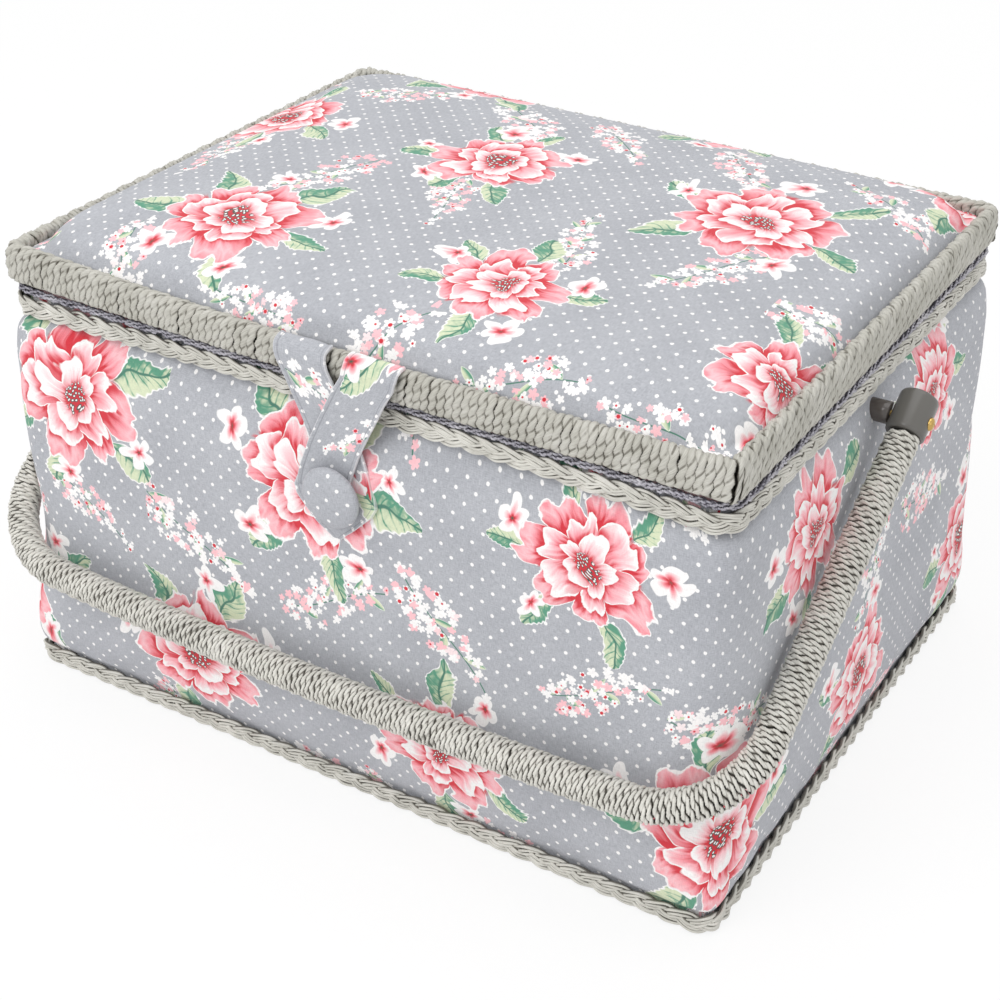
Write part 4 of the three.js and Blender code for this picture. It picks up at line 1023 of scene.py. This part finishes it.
def railPlan(length, cross, along, depth):
    radius, band = rim.cornerRadius, rim.bandWidth
    straight = length - radius
    whole = straight + radius * pi / 4
    travel = abs(along) * whole
    turn = max(0.0, travel - straight) / radius
    outerAlong = min(travel, straight) + radius * sin(turn)
    outerAcross = cross - radius * (1 - cos(turn))
    innerAlong = abs(along) * (length - band)
    share = depth / band
    p = outerAlong + (innerAlong - outerAlong) * share
    q = outerAcross + (cross - band - outerAcross) * share
    return copysign(p, along), q


def makeRail(name, length, cross, quarter):
    section, sectionOuts, bottom = rimSection(rim.inset)
    turns = round(2 * length / rim.wrapPitch)
    steps = rim.stepsPerTurn
    reach = 1 - rim.gap / length
    turnRail = Matrix.Rotation(quarter * pi / 2, 3, "Z")

    def at(k):
        turn = k / steps
        nudge = noise.noise(Vector((turn * 0.9, quarter * 5.0, 0.0))) * rim.wander
        share = min(max((turn + nudge) / turns, 0.0), 1.0)
        depth, rise = section[k % steps]
        swell = noise.noise(Vector((turn * 0.35, quarter * 9.0, 4.0))) * rim.wander
        p, q = railPlan(length, cross, reach * (2 * share - 1), depth)
        bow = frontBow(p) if name == "front" else 0
        q += rim.bulge * bow * (1 - depth / rim.bandWidth)
        rise *= 1 - rim.sag / rim.height * bow
        point = turnRail @ Vector((p, -(q + swell * (0.5 - depth / rim.bandWidth)), bottom + rise))
        tilt = tau * turn * rim.plyTurns + 2.5 * nudge
        return point * mm, tilt, turnRail @ Vector((0, *sectionOuts[k % steps]))

    ply = (rim.cordRadius, rim.plyDepth, rim.profilePoints)
    piece = sweepCords(f"rim_winding_{name}", [pathOf(turns * steps + 1, at)], ply, "cord", press=rim.press)
    seat(piece, "lid", "paper_cord", f"lid_wrap_{name}", *(["lid_rail_front"] if name == "front" else []))


rimX, rimY = boxOf("lid_wrap_right")[1].x, -boxOf("lid_wrap_front")[0].y
for railNumber, railName in enumerate(("front", "right", "back", "left")):
    makeRail(railName, *((rimY, rimX) if railNumber % 2 else (rimX, rimY)), railNumber)

# Cord wound round the handle
grip = SimpleNamespace(
    bendRadius=38.0, bow=2.5, outerRadius=6.7, cordRadius=1.35, plyDepth=0.28, wrapPitch=2.12,
    inset=1.15, plyTurns=3.75, stepsPerTurn=38, profilePoints=9, capBelow=7.0, press=0.8, wander=0.12,
    swell=0.03, capGap=0.3, endShare=0.6,
)


def bailLine():
    # The handle's middle line, read from the core: its arms, its reach and its fold
    core = frame["nodes"]["handle_core"].data
    corners = {tuple(round(c, 6) for c in vertex.co) for vertex in core.vertices}
    middle = [Vector(c) for c in corners if abs(c[0]) < 0.001]
    centre = sum(middle, Vector()) / len(middle)
    ends = [abs(c[0]) for c in corners if c[1] > -0.02]
    armX = sum(ends) / len(ends) / mm
    reach = (centre - pivot).length / mm
    fold = atan2(pivot.z - centre.z, -centre.y)
    return armX, reach, fold


armX, handleReach, handleFold = bailLine()
print("handle arm, reach, fold:", round(armX, 2), round(handleReach, 2), round(degrees(handleFold), 2))


def bailPlan():
    bow, bend = radians(grip.bow), grip.bendRadius
    bowRadius = bend + (armX - bend) / sin(bow)
    armEnd = handleReach - bend * cos(bow) - bowRadius * (1 - cos(bow))
    turn = pi / 2 - bow
    runs = [armEnd, bend * turn, bowRadius * bow * 2, bend * turn, armEnd]
    return runs, bow, bend, bowRadius, armEnd


def bailPlace(travel):
    runs, bow, bend, bowRadius, armEnd = bailPlan()
    rest, run = travel, 0
    while run < 4 and rest > runs[run]:
        rest -= runs[run]
        run += 1
    if run == 0:
        across, away, heading = -armX, rest, pi / 2
    elif run == 4:
        across, away, heading = armX, armEnd - rest, -pi / 2
    elif run == 2:
        angle = bow - rest / bowRadius
        across, away, heading = -bowRadius * sin(angle), handleReach - bowRadius * (1 - cos(angle)), angle
    else:
        turned = rest / bend
        angle = turned if run == 1 else pi / 2 - bow - turned
        side = -1 if run == 1 else 1
        across = side * (armX - bend + bend * cos(angle))
        away = armEnd + bend * sin(angle)
        heading = pi / 2 - turned if run == 1 else -bow - turned
    outward = Vector((0, -cos(handleFold), -sin(handleFold)))
    side = Vector((1, 0, 0))
    centre = pivot / mm + side * across + outward * away
    inPlane = -side * sin(heading) + outward * cos(heading)
    return centre, inPlane, side.cross(outward)


def makeGrip():
    runs = bailPlan()[0]
    start = grip.capBelow + grip.capGap + grip.cordRadius * grip.endShare
    length = sum(runs) - 2 * start
    turns = round(length / grip.wrapPitch)
    steps = grip.stepsPerTurn
    radius = grip.outerRadius - grip.inset

    def at(k):
        turn = k / steps
        nudge = noise.noise(Vector((turn * 0.8, 2.0, 0.0))) * grip.wander
        centre, inPlane, offPlane = bailPlace(start + length * min(max((turn + nudge) / turns, 0), 1))
        angle = tau * turn
        reach = radius * (1 + grip.swell * noise.noise(Vector((turn * 0.27, 7.0, 0.0))))
        out = inPlane * cos(angle) + offPlane * sin(angle)
        return (centre + out * reach) * mm, tau * turn * grip.plyTurns + 3.0 * nudge, out

    ply = (grip.cordRadius, grip.plyDepth, grip.profilePoints)
    piece = sweepCords("grip_winding", [pathOf(turns * steps + 1, at)], ply, "gripCord", press=grip.press)
    seat(piece, "handle", "paper_cord", "handle_wrap")


makeGrip()

# Three-strand plaits, each strand a few flat cords side by side
plaits = {
    "base": SimpleNamespace(
        node="base_braid", radius=6.8, pitch=27.0, cords=3, cordRadius=0.95, flat=0.7, spread=1.4, swing=2.15,
        depth=0.8, front=1, skew=0.25, step=0.86, ragged=0.5, bow=0, out=0.4, rise=0.15, roll=0.35,
    ),
    "mouth": SimpleNamespace(
        node="mouth_braid", radius=8.5, pitch=27.0, cords=4, cordRadius=0.78, flat=0.8, spread=1.08, swing=2.35,
        depth=0.85, front=-1, skew=-0.3, step=1.1, ragged=0.7, bow=1.5, out=0.4, rise=0.15, roll=0.35,
    ),
}


def makePlait(name):
    look = plaits[name]
    low, high = boxOf(look.node)
    thickness = 2 * (look.cordRadius * look.flat + look.depth)
    halfX, halfY = high.x - thickness / 2 + look.out, high.y - thickness / 2 + look.out
    middle = (low.z + high.z) / 2 + look.rise
    stops, length = planStops(halfX, halfY, look.radius, look.radius)
    repeats = round(length / look.pitch)
    count = round(length / look.step)
    swing, bend = look.swing, tau * repeats / length

    def cordPath(strand, cord):
        offset = (cord - (look.cords - 1) / 2) * look.spread

        def at(k):
            share = k / count
            phase = tau * (repeats * share + strand / 3)
            turned = phase + look.skew * sin(phase)
            slope = swing * cos(turned) * bend * (1 + look.skew * cos(phase))
            lean = hypot(1, slope)
            place = (share - offset * slope / lean / length) % 1
            x, y, outX, outY, _, _ = planAt(place, stops, halfX, halfY, look.radius, look.radius)
            chanceAt = Vector((share * length * 0.11, strand * 3.1, cord * 1.7))
            wander = look.ragged * noise.noise(chanceAt)
            bow = look.bow * frontBow(x) if y < 10 - halfY else 0
            up = (swing * sin(turned) + offset / lean) * (1 - 0.1 * bow) + wander + bow
            out = look.depth * sin(2 * phase) * look.front
            out += look.ragged * 0.6 * noise.noise(chanceAt * 2.3 + Vector((0, 0, 9)))
            tilt = look.roll * sin(share * length * 0.5 + cord * 2 + strand)
            return Vector((x + outX * out, y + outY * out, middle + up)) * mm, tilt, Vector((outX, outY, 0))

        return pathOf(count, at)

    runs = [cordPath(strand, cord) for strand in range(3) for cord in range(look.cords)]
    ply = (look.cordRadius, 0.1, 8, look.flat)
    seat(sweepCords(f"{name}_plait", runs, ply, "plaitCord", closed=True), "box", "paper_cord", look.node)


for plaitName in plaits:
    makePlait(plaitName)

# Thin dark cord under the lid's rim, of three frayed strands lying together
darkCord = SimpleNamespace(
    inset=1.5, drop=0.2, radius=8.0, cordRadius=0.85, plyDepth=0.25, twistPitch=4.5,
    step=0.8, strands=3, strandTurn=15.0, strandReach=0.8, wander=0.7,
    hingeGap=0.3, lift=0.35,
)


def makeDarkCord():
    low, high = boxOf("mouth_cord")
    hingeEdge = -boxOf("hinge_box_leaf_left")[0].x + darkCord.hingeGap
    halfX, halfY = high.x - darkCord.inset, high.y - darkCord.inset
    middle = (low.z + high.z) / 2 - darkCord.drop
    radius = darkCord.radius
    stops, length = planStops(halfX, halfY, radius, radius)

    def strandPath(strand, start, end):
        count = round((end - start) * length / darkCord.step)

        def at(k):
            share = start + (end - start) * k / count
            x, y, outX, outY, _, _ = planAt(share % 1, stops, halfX, halfY, radius, radius)
            travel = share * length
            loose = noise.noise(Vector((travel * 0.12, 1.0 + strand, 0.0)))
            reach = darkCord.strandReach * (1 + darkCord.wander * loose)
            angle = tau * (travel / darkCord.strandTurn + strand / darkCord.strands + 0.3 * loose)
            across = reach * cos(angle)
            lift = reach * sin(angle) + darkCord.lift * noise.noise(Vector((travel * 0.3, 5.0, strand)))
            place = Vector((x + outX * across, y + outY * across, middle + lift)) * mm
            return place, travel * tau / darkCord.twistPitch, Vector((outX, outY, 0))

        return pathOf(count + 1, at)

    backEnd = boxOf("mouth_cord_back")[1].x / length
    spans = {"mouth_cord": (hingeEdge / length, 1 - hingeEdge / length),
             "mouth_cord_back": (1 - backEnd, 1 + backEnd)}
    ply = (darkCord.cordRadius, darkCord.plyDepth, 8)
    for node, span in spans.items():
        runs = [strandPath(strand, *span) for strand in range(darkCord.strands)]
        seat(sweepCords(f"dark_{node}", runs, ply, "darkCord"), "box", "dark_cord", node)


makeDarkCord()

# Turned pieces


def turned(name, outline, look, place, axis, steps=40):
    # outline: (radius, height) in mm from one end of the axis to the other
    shape = bmesh.new()
    rim_ = [shape.verts.new((radius * mm, 0, height * mm)) for radius, height in outline]
    edges = [shape.edges.new(pair) for pair in zip(rim_, rim_[1:])]
    bmesh.ops.spin(shape, geom=rim_ + edges, cent=(0, 0, 0), axis=(0, 0, 1), angle=tau, steps=steps,
                   use_merge=True)
    bmesh.ops.remove_doubles(shape, verts=shape.verts, dist=0.000002)
    bmesh.ops.recalc_face_normals(shape, faces=shape.faces)
    turn = Vector(axis).to_track_quat("Z", "Y").to_matrix().to_4x4()
    bmesh.ops.transform(shape, matrix=Matrix.Translation(Vector(place)) @ turn, verts=shape.verts)
    return linkMesh(name, meshFrom(name, shape), look)


# Handle ends: moulded caps, spacers and rivets
pivotLook = {
    "cap": [(0, -9.5), (5.4, -9.5), (6.2, -9.4), (6.9, -9.0), (7.25, -8.3), (7.35, -7.2), (7.4, 5.6),
            (7.3, 6.4), (6.9, 6.9), (6.3, 7.0), (0, 7.0)],
    "spacer": [(0, 151.5), (4.1, 151.5), (4.25, 151.8), (4.3, 159.6), (4.1, 160.0), (0, 160.0)],
    "rivet": [(0, 140.5), (0.9, 140.55), (2.0, 140.8), (2.8, 141.3), (3.0, 142.0), (1.4, 142.1), (1.4, 174.4),
              (2.5, 174.5), (2.55, 175.0), (2.5, 175.3), (2.2, 175.85), (1.6, 176.25), (1.0, 176.42),
              (0.62, 176.45), (0.5, 176.0), (0, 175.9)],
    "washer": [(1.5, 142.0), (5.7, 142.0), (6.0, 142.25), (6.0, 142.95), (5.7, 143.2), (1.5, 143.2)],
}


def makePivots():
    armWay = Vector((0, -cos(handleFold), -sin(handleFold)))
    for side, word in ((-1, "left"), (1, "right")):
        cap = turned(f"cap_{word}", pivotLook["cap"], "capPlastic", pivot + Vector((side * armX * mm, 0, 0)),
                     armWay, 56)
        seat(cap, "handle", "cap_plastic", f"handle_cap_{word}")
        for part, look, slot in (("spacer", "spacerPlastic", "cap_plastic"), ("rivet", "brass", "rivet_brass"),
                                 ("washer", "brass", "rivet_brass")):
            piece = turned(f"{part}_{word}", pivotLook[part], look, pivot, (side, 0, 0))
            seat(piece, "box", slot, f"pivot_{part}_{word}")


makePivots()

# Cloth loop of two crossed legs folded to a point, and its covered button
strap = SimpleNamespace(
    x=3.7, width=22.0, thickness=1.5, topSpread=28.0, tip=20.0, pointWidth=35.4, gap=0.3,
    dropShares=[-0.21, -0.02, 0.04, 0.11, 0.3, 0.46, 0.61, 0.68, 0.72],
    placeShares=[1.1, 1.06, 0.98, 0.8, 0.35, 0, -0.25, -0.33, -0.35],
    layerShares=[0, 0, 0, 0.6, 1, 1, 1, 1, 1],
    pointDropShares=[0.62, 0.68, 0.735, 0.79, 0.9, 0.96, 1],
    pointWidthShares=[0.8, 0.93, 1, 0.9, 0.5, 0.24, 0.1],
    pointLiftAt=[0.62, 0.67, 0.78, 0.92, 1.0], pointLift=[0.25, 0.4, 0.92, 0.85, 0.35], pointRows=26,
    pointThickness=1.3, slack=0.35, edgeRound=0.45, stitchWidth=0.45, hemRise=0.25,
    hem=1.7, stitchDip=0.32, columns=24, rows=70,
)
button = SimpleNamespace(
    x=5.0, radius=12.3,
    outline=[(0, 0.1), (9.0, 0.1), (10.6, 0.5), (11.7, 1.4), (12.0, 2.3), (11.8, 3.1), (11.0, 3.85),
             (9.6, 4.5), (7.6, 5.05), (5.2, 5.5), (2.6, 5.75), (0, 5.8)],
    shank=[(0, 0), (2.6, 0), (2.1, 0.6), (1.9, 2.0), (2.1, 3.6), (2.6, 4.2), (0, 4.2)],
)


def drapePath():
    # From the rim's crest down its face and on down the padded front: places, and travel to each
    low, high = boxOf("lid_wrap_front")
    bow = frontBow(strap.x)
    half, top, gap = -low.y + rim.bulge * bow, high.z - rim.sag * bow, strap.gap
    middle, step = sum(corner.z for corner in boxOf("closure_button")) / 2, button.radius
    places = [(half - 4.42, top + gap), (half - 2.4, top + gap), (half - 0.5, top - 0.5), (half + gap, top - 2.6),
              (half + gap, low.z), (half + gap, boxOf("mouth_braid")[0].z)]
    places += [(coverFront(middle + k * step) + gap, middle + k * step) for k in (1, 0, -1, -2, -3)]
    travels = np.concatenate([[0], np.cumsum(np.hypot(*np.diff(np.array(places), axis=0).T))])
    return np.array(places), travels


drape, drapeTravels = drapePath()
strapStart, buttonTravel = drapeTravels[3], drapeTravels[7]
strapDrop = buttonTravel - strapStart + strap.tip


def drapedPoint(x, travel, off):
    # Off the drape by the distance given, square to its run over 3 mm
    y, z = (table(drapeTravels, drape[:, axis], travel) for axis in (0, 1))
    ahead, behind = ([table(drapeTravels, drape[:, axis], travel + step) for axis in (0, 1)]
                     for step in (1.5, -1.5))
    wayY, wayZ = ahead[0] - behind[0], ahead[1] - behind[1]
    long = hypot(wayY, wayZ)
    return (x, -(y - wayZ / long * off), z + wayY / long * off)


def hemmed(across, width):
    # The cloth is thicker where it is turned under, with a stitch line along it
    edge = width * (0.5 - abs(across - 0.5))
    dip = strap.stitchDip * exp(-(((edge - strap.hem) / strap.stitchWidth) ** 2))
    return strap.hemRise * exp(-((edge / strap.hem) ** 4)) - dip


def strapPart(name, place, columns, rows, thickness):
    piece = gridCloth(name, columns, rows, place, "strapCloth")
    turnTowards(piece, (0, -1, 0))
    shares = np.arange(len(piece.data.vertices)) % (columns + 1) / columns
    widths = np.array([vertex.co.x for vertex in piece.data.vertices]).reshape(rows + 1, columns + 1)
    widths = np.repeat(widths.max(axis=1) - widths.min(axis=1), columns + 1) / mm
    edges = widths * (0.5 - np.abs(shares - 0.5))
    layer = piece.data.attributes.new("hem", "FLOAT", "POINT")
    layer.data.foreach_set("value", np.clip(1 - edges / 4, 0, 1).astype(np.float32))
    addShell(piece, thickness)
    rounder = piece.modifiers.new("edges", "BEVEL")
    rounder.width = strap.edgeRound * mm
    rounder.segments = 2
    rounder.limit_method = "ANGLE"
    rounder.angle_limit = radians(50)
    applyModifiers(piece)
    piece.data.polygons.foreach_set("use_smooth", [True] * len(piece.data.polygons))
    return piece


def makeLeg(name, side):
    width, thickness, gap = strap.width, strap.thickness, strap.gap
    end = strapStart + strap.dropShares[-1] * strapDrop

    def place(across, up):
        travel = end * (1 - up)
        share = (travel - strapStart) / strapDrop
        middle = strap.x + side * table(strap.dropShares, strap.placeShares, share) * strap.topSpread / 2
        layer = table(strap.dropShares, strap.layerShares, share) if side > 0 else 0
        slack = strap.slack * noise.noise(Vector((travel * 0.07, across * 2.5, side * 3.0)))
        off = gap + layer * (thickness + gap) + thickness + hemmed(across, width) + slack
        ends = hemmed(0.5 - abs(travel - end) / width, width) if travel > end - 6 and side > 0 else 0
        x = middle + (across - 0.5) * width
        return drapedPoint(x, travel, off + ends), (across * width + (side > 0) * 47, travel * 1.06)

    return strapPart(name, place, strap.columns, strap.rows, thickness)


def makePoint():
    gap, both = strap.gap, 2 * strap.thickness + strap.gap

    def place(across, up):
        low, high = strap.pointDropShares[0], strap.pointDropShares[-1]
        share = high + (low - high) * up
        half = strap.pointWidth / 2 * table(strap.pointDropShares, strap.pointWidthShares, share)
        x = strap.x + (2 * across - 1) * half
        climb = table(strap.pointLiftAt, strap.pointLift, share)
        off = gap + both * climb + hemmed(across, 2 * half) * min(1, half / 4)
        return drapedPoint(x, strapStart + strapDrop * share, off), (x + 77, strapDrop * share + 9)

    return strapPart("strap_point", place, strap.columns, strap.pointRows, strap.pointThickness)


def makeStrap():
    legs = [makeLeg("strap_under", -1), makeLeg("strap_over", 1)]
    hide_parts("closure_loop")
    for leg in legs:
        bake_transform(leg)
    seat(makePoint(), "loop", "print_fabric")


def makeButton():
    low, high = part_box("closure_button")
    middle = Vector((button.x * mm, high.y, (low.z + high.z) / 2))
    piece = turned("button", button.outline, "dottedCloth", middle, (0, -1, 0), 64)
    layer = piece.data.uv_layers.new(name="cloth")
    for loop in piece.data.loops:
        away = piece.data.vertices[loop.vertex_index].co - middle
        grow = 1 + 0.25 * min(1, -away.y / mm / 6) if away.y > -0.002 else 1
        layer.data[loop.index].uv = (away.x * grow + 0.0212, away.z * grow + 0.0151)
    seat(piece, "box", "print_fabric", "closure_button")
    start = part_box("button_shank")[1].y
    shank = turned("button_thread", button.shank, "lining", (middle.x, start, middle.z), (0, -1, 0), 20)
    seat(shank, "box", "print_fabric", "button_shank")


makeStrap()
makeButton()

# Linings: gathered round the walls, quilted on the floor and puffed under the lid
linings = SimpleNamespace(
    wallHalf=(143.6, 109.1), wallRadius=3.6, low=8.6, high=173.0, turnOver=4.2, fold=0.75,
    foldPitch=11.0, quiltPitch=30.0, quiltDip=1.3, thickness=0.5,
    wallGrid=(560, 40), turnAt=0.9, turnLength=0.1, backTurn=0.6, panelGrid=(190, 150), panelRadius=4.0,
    edgeShare=0.35, softEdge=2.2, crownEdge=14, seamWidth=4.5,
)


def makeWallLining():
    halfX, halfY = linings.wallHalf
    radius = linings.wallRadius
    stops, length = planStops(halfX, halfY, radius, radius)
    tall = linings.high - linings.low

    def place(across, up):
        x, y, outX, outY, run, _ = planAt(across, stops, halfX, halfY, radius, radius)
        climb = min(up / linings.turnAt, 1)
        over = max(up - linings.turnAt, 0) / linings.turnLength
        z = linings.low + tall * climb
        travel = across * length
        turns = round(length / linings.foldPitch)
        wave = sin(tau * turns * across + 1.6 * noise.noise(Vector((travel * 0.03, 0, 3.0))))
        pull = linings.fold * (wave * 0.5 - 0.5) * (0.3 + 0.7 * climb ** 2) * (1 - over)
        pull += 0.25 * noise.noise(Vector((travel * 0.05, z * 0.02, 1.0)))
        bend = linings.turnOver * sin(over * pi / 2) if run not in (0, 8) else linings.backTurn * over
        z += 0.4 * sin(over * pi) - 0.2 * over
        reach = min(pull, 0) + bend
        return (x + outX * reach, y + outY * reach, z), (travel, z)

    piece = gridCloth("wall_cloth", *linings.wallGrid, place, "lining", seam=True)
    thicken(piece, linings.thickness, 0)
    seat(piece, "box", "lining_fabric", "wall_lining")


def quilted(x, y, depth):
    # Soft squares set corner up, drawn in along their seams
    pitch = linings.quiltPitch
    seams = [abs(((x + side * y) / pitch) % 1 - 0.5) * 2 for side in (1, -1)]
    return -depth * max(exp(-((1 - seam) * pitch / linings.seamWidth) ** 2) for seam in seams)


def flatLining(name, node, body, up, puff):
    # A soft panel on one face of a board, crowned towards its middle and quilted
    low, high = boxOf(node)
    halfX, halfY = high.x, high.y
    face = low.z if up > 0 else high.z
    thick, radius = high.z - low.z, linings.panelRadius

    def place(across, along):
        sideX, sideY = 2 * across - 1, 2 * along - 1
        x, y = halfX * sin(sideX * pi / 2), halfY * sin(sideY * pi / 2)
        corner = hypot(max(abs(x) - (halfX - radius), 0), max(abs(y) - (halfY - radius), 0))
        if corner > radius:
            x = copysign(halfX - radius + (abs(x) - (halfX - radius)) * radius / corner, x)
            y = copysign(halfY - radius + (abs(y) - (halfY - radius)) * radius / corner, y)
        edge = max(min(halfX - abs(x), halfY - abs(y), radius - min(corner, radius)), 0)
        soft = 1 - exp(-edge / linings.softEdge)
        rise = thick * (linings.edgeShare + (1 - linings.edgeShare) * soft)
        rise += puff * (1 - exp(-edge / linings.crownEdge)) * soft
        rise += quilted(x, y, linings.quiltDip) * soft
        return (x, y, face + up * rise), (x, y)

    piece = gridCloth(name, *linings.panelGrid, place, "lining")
    turnTowards(piece, (0, 0, up))
    thicken(piece, linings.thickness)
    seat(piece, body, "lining_fabric", node)


makeWallLining()
flatLining("floor_cloth", "floor_lining", "box", 1, 0.6)
flatLining("lid_cloth", "lid_lining", "lid", -1, 1.3)

# Pincushion and gathered pocket inside the lid
insideLid = SimpleNamespace(
    cushionEdge=2.5, cushionCrown=11.0, pucker=0.4, puckerReach=6.0, puckers=46,
    held=0.6, slack=0.02, furthest=1.2,
    cushionRadius=9.0, cushionGrid=(96, 72), cushionThickness=0.8,
    pipingRadius=1.1, pipingPlyDepth=0.18, pipingInset=0.6, pipingDrop=1.2,
    pipingTwist=3.2, pocketFolds=17, pocketFold=1.5, casingAt=0.9, pocketThickness=0.5,
    pocketSlack=9.0, casingWidth=0.035, frill=6, pocketSag=3.0,
    pocketGrid=(240, 70),
)


def roundedPlace(across, along, halfX, halfY, radius):
    # Shares of a square sheet laid on a rounded rectangle
    x, y = halfX * sin((2 * across - 1) * pi / 2), halfY * sin((2 * along - 1) * pi / 2)
    cornerX, cornerY = abs(x) - (halfX - radius), abs(y) - (halfY - radius)
    edge = min(halfX - abs(x), halfY - abs(y))
    if cornerX > 0 and cornerY > 0:
        square = max(cornerX, cornerY)
        reach = hypot(cornerX, cornerY)
        x = copysign(halfX - radius + cornerX * square / reach, x)
        y = copysign(halfY - radius + cornerY * square / reach, y)
        edge = radius - square
    return x, y, max(edge, 0)


def makeCushion():
    # Not through boxOf: the settled cloth follows the last bit of what it starts from
    low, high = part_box("pincushion")
    middle = (low + high) / 2 / mm
    halfX, halfY = (high.x - low.x) / 2 / mm, (high.y - low.y) / 2 / mm
    tall, face = (high.z - low.z) / mm, high.z / mm
    radius = insideLid.cushionRadius

    def place(across, along):
        x, y, edge = roundedPlace(across, along, halfX, halfY, radius)
        rise = tall * (0.5 * (1 - exp(-edge / insideLid.cushionEdge))
                       + 0.5 * (1 - exp(-edge / insideLid.cushionCrown)))
        pucker = insideLid.pucker * exp(-edge / insideLid.puckerReach) * sin(atan2(y, x) * insideLid.puckers)
        return (middle.x + x, middle.y + y, face - max(rise + pucker * min(edge, 1), 0)), (x, y)

    piece = gridCloth("pincushion_pad", *insideLid.cushionGrid, place, "cushionCloth")
    turnTowards(piece, (0, 0, -1))
    settle(piece, lambda at: at.z > face - insideLid.held, insideLid)
    thicken(piece, insideLid.cushionThickness)
    seat(piece, "lid", "print_fabric", "pincushion")
    pipeX, pipeY = halfX - insideLid.pipingInset, halfY - insideLid.pipingInset
    stops, length = planStops(pipeX, pipeY, radius, radius)
    count = round(length)

    def at(k):
        x, y, outX, outY, _, _ = planAt(k / count, stops, pipeX, pipeY, radius, radius)
        place = Vector((middle.x + x, middle.y + y, face - insideLid.pipingDrop)) * mm
        return place, k / count * length * tau / insideLid.pipingTwist, Vector((outX, outY, 0))

    points, tilts, outs = pathOf(count, at)
    whole = round(tilts[-1] / tau) * tau
    tilts = [tilt * whole / tilts[-1] for tilt in tilts]
    ply = (insideLid.pipingRadius, insideLid.pipingPlyDepth, 8)
    piping = sweepCords("pincushion_piping", [(points, tilts, outs)], ply, "plaitCord", closed=True)
    seat(piping, "lid", "paper_cord")


def makePocket():
    low, high = boxOf("lid_pocket")
    wide, tall, depth = high.x - low.x, high.y - low.y, high.z - low.z

    def place(across, along):
        # along runs from the sewn edge to the open one
        travel = across * wide
        edge = min(travel, wide - travel, along * tall)
        slack = 1 - exp(-edge / insideLid.pocketSlack)
        casing = exp(-(((along - insideLid.casingAt) / insideLid.casingWidth) ** 2))
        folds = sin(tau * insideLid.pocketFolds * across
                    + 1.4 * noise.noise(Vector((travel * 0.05, along * 1.2, 0))))
        frill = max(along - insideLid.casingAt, 0) * insideLid.frill
        lift = depth * slack * (1.5 - 0.7 * casing)
        lift += insideLid.pocketFold * folds * slack * (0.2 + 0.6 * along) * (1 - 0.5 * casing)
        sag = insideLid.pocketSag * sin(pi * across) * max(along - 0.5, 0)
        y = high.y - along * tall + sag + 0.8 * frill * folds
        return (low.x + travel, y, high.z - max(lift, 0.1)), (travel * 1.2, along * tall)

    piece = gridCloth("pocket_cloth", *insideLid.pocketGrid, place, "lining")
    turnTowards(piece, (0, 0, -1))
    area = sum(face.area for face in piece.data.polygons)
    thicken(piece, insideLid.pocketThickness)
    seat(piece, "lid", "lining_fabric", "lid_pocket")
    print("pocket cloth:", round(area * 1e6), "mm2, frame", round(wide, 1), "x", round(tall, 1))
    return piece, wide, tall


makeCushion()
pocket, pocketWide, pocketTall = makePocket()
pocketWide * mm * 1.12
pocketTall * mm * 1.04

# Stage and light
stageLook = SimpleNamespace(floorTone=0.93, floorGlow=0.85, worldLight=0.75)


def seenRays(tree):
    # 1 for rays from the camera, and for reflected or passed ones
    rays = newNode(tree, "LightPath").outputs
    return larger(larger(rays["Is Camera Ray"], rays["Is Glossy Ray"]), rays["Is Transmission Ray"])


def makeStage():
    plane = bmesh.new()
    bmesh.ops.create_grid(plane, x_segments=1, y_segments=1, size=6.0)
    floor = addObject("floor", meshFrom("floor", plane))
    floor.data.transform(Matrix.Translation((0, 0, -0.0003)))
    tone = stageLook.floorTone
    material, tree, shader = startMaterial("floorWhite", Roughness=1.0, Specular_IOR_Level=0.0,
                                           Base_Color=(tone, tone, tone, 1.0))
    glow = newNode(tree, "Emission").outputs[0]
    mixer = newNode(tree, "MixShader")
    fill(mixer, (seenRays(tree) * stageLook.floorGlow, shader.outputs[0], glow))
    wire(mixer.outputs[0], tree.nodes["Material Output"].inputs["Surface"])
    floor.data.materials.append(material)

    world = bpy.data.worlds.new("studio")
    bpy.context.scene.world = world
    world.use_nodes = True
    level = stageLook.worldLight
    background = world.node_tree.nodes["Background"]
    background.inputs["Color"].default_value = (1.0, 1.0, 1.0, 1.0)
    wire(mulAdd(seenRays(world.node_tree), 1.0 - level, level), background.inputs["Strength"])


lamps = {
    "key": {"place": (-0.5, -1.5, 1.7), "size": 1.3, "power": 17.8},
    "fill": {"place": (1.7, -0.9, 1.0), "size": 1.4, "power": 2.2},
    "top": {"place": (0.1, 0.3, 2.0), "size": 1.6, "power": 10.0},
}


def makeLamps():
    for name, lamp in lamps.items():
        data = bpy.data.lights.new(name, "AREA")
        data.energy = lamp["power"]
        data.size = lamp["size"]
        holder = addObject(name, data)
        place = Vector(lamp["place"])
        holder.location = place
        holder.rotation_euler = (Vector((0, 0, 0.1)) - place).to_track_quat("-Z", "Y").to_euler()


makeStage()
makeLamps()
bpy.context.scene.view_settings.view_transform = "Standard"
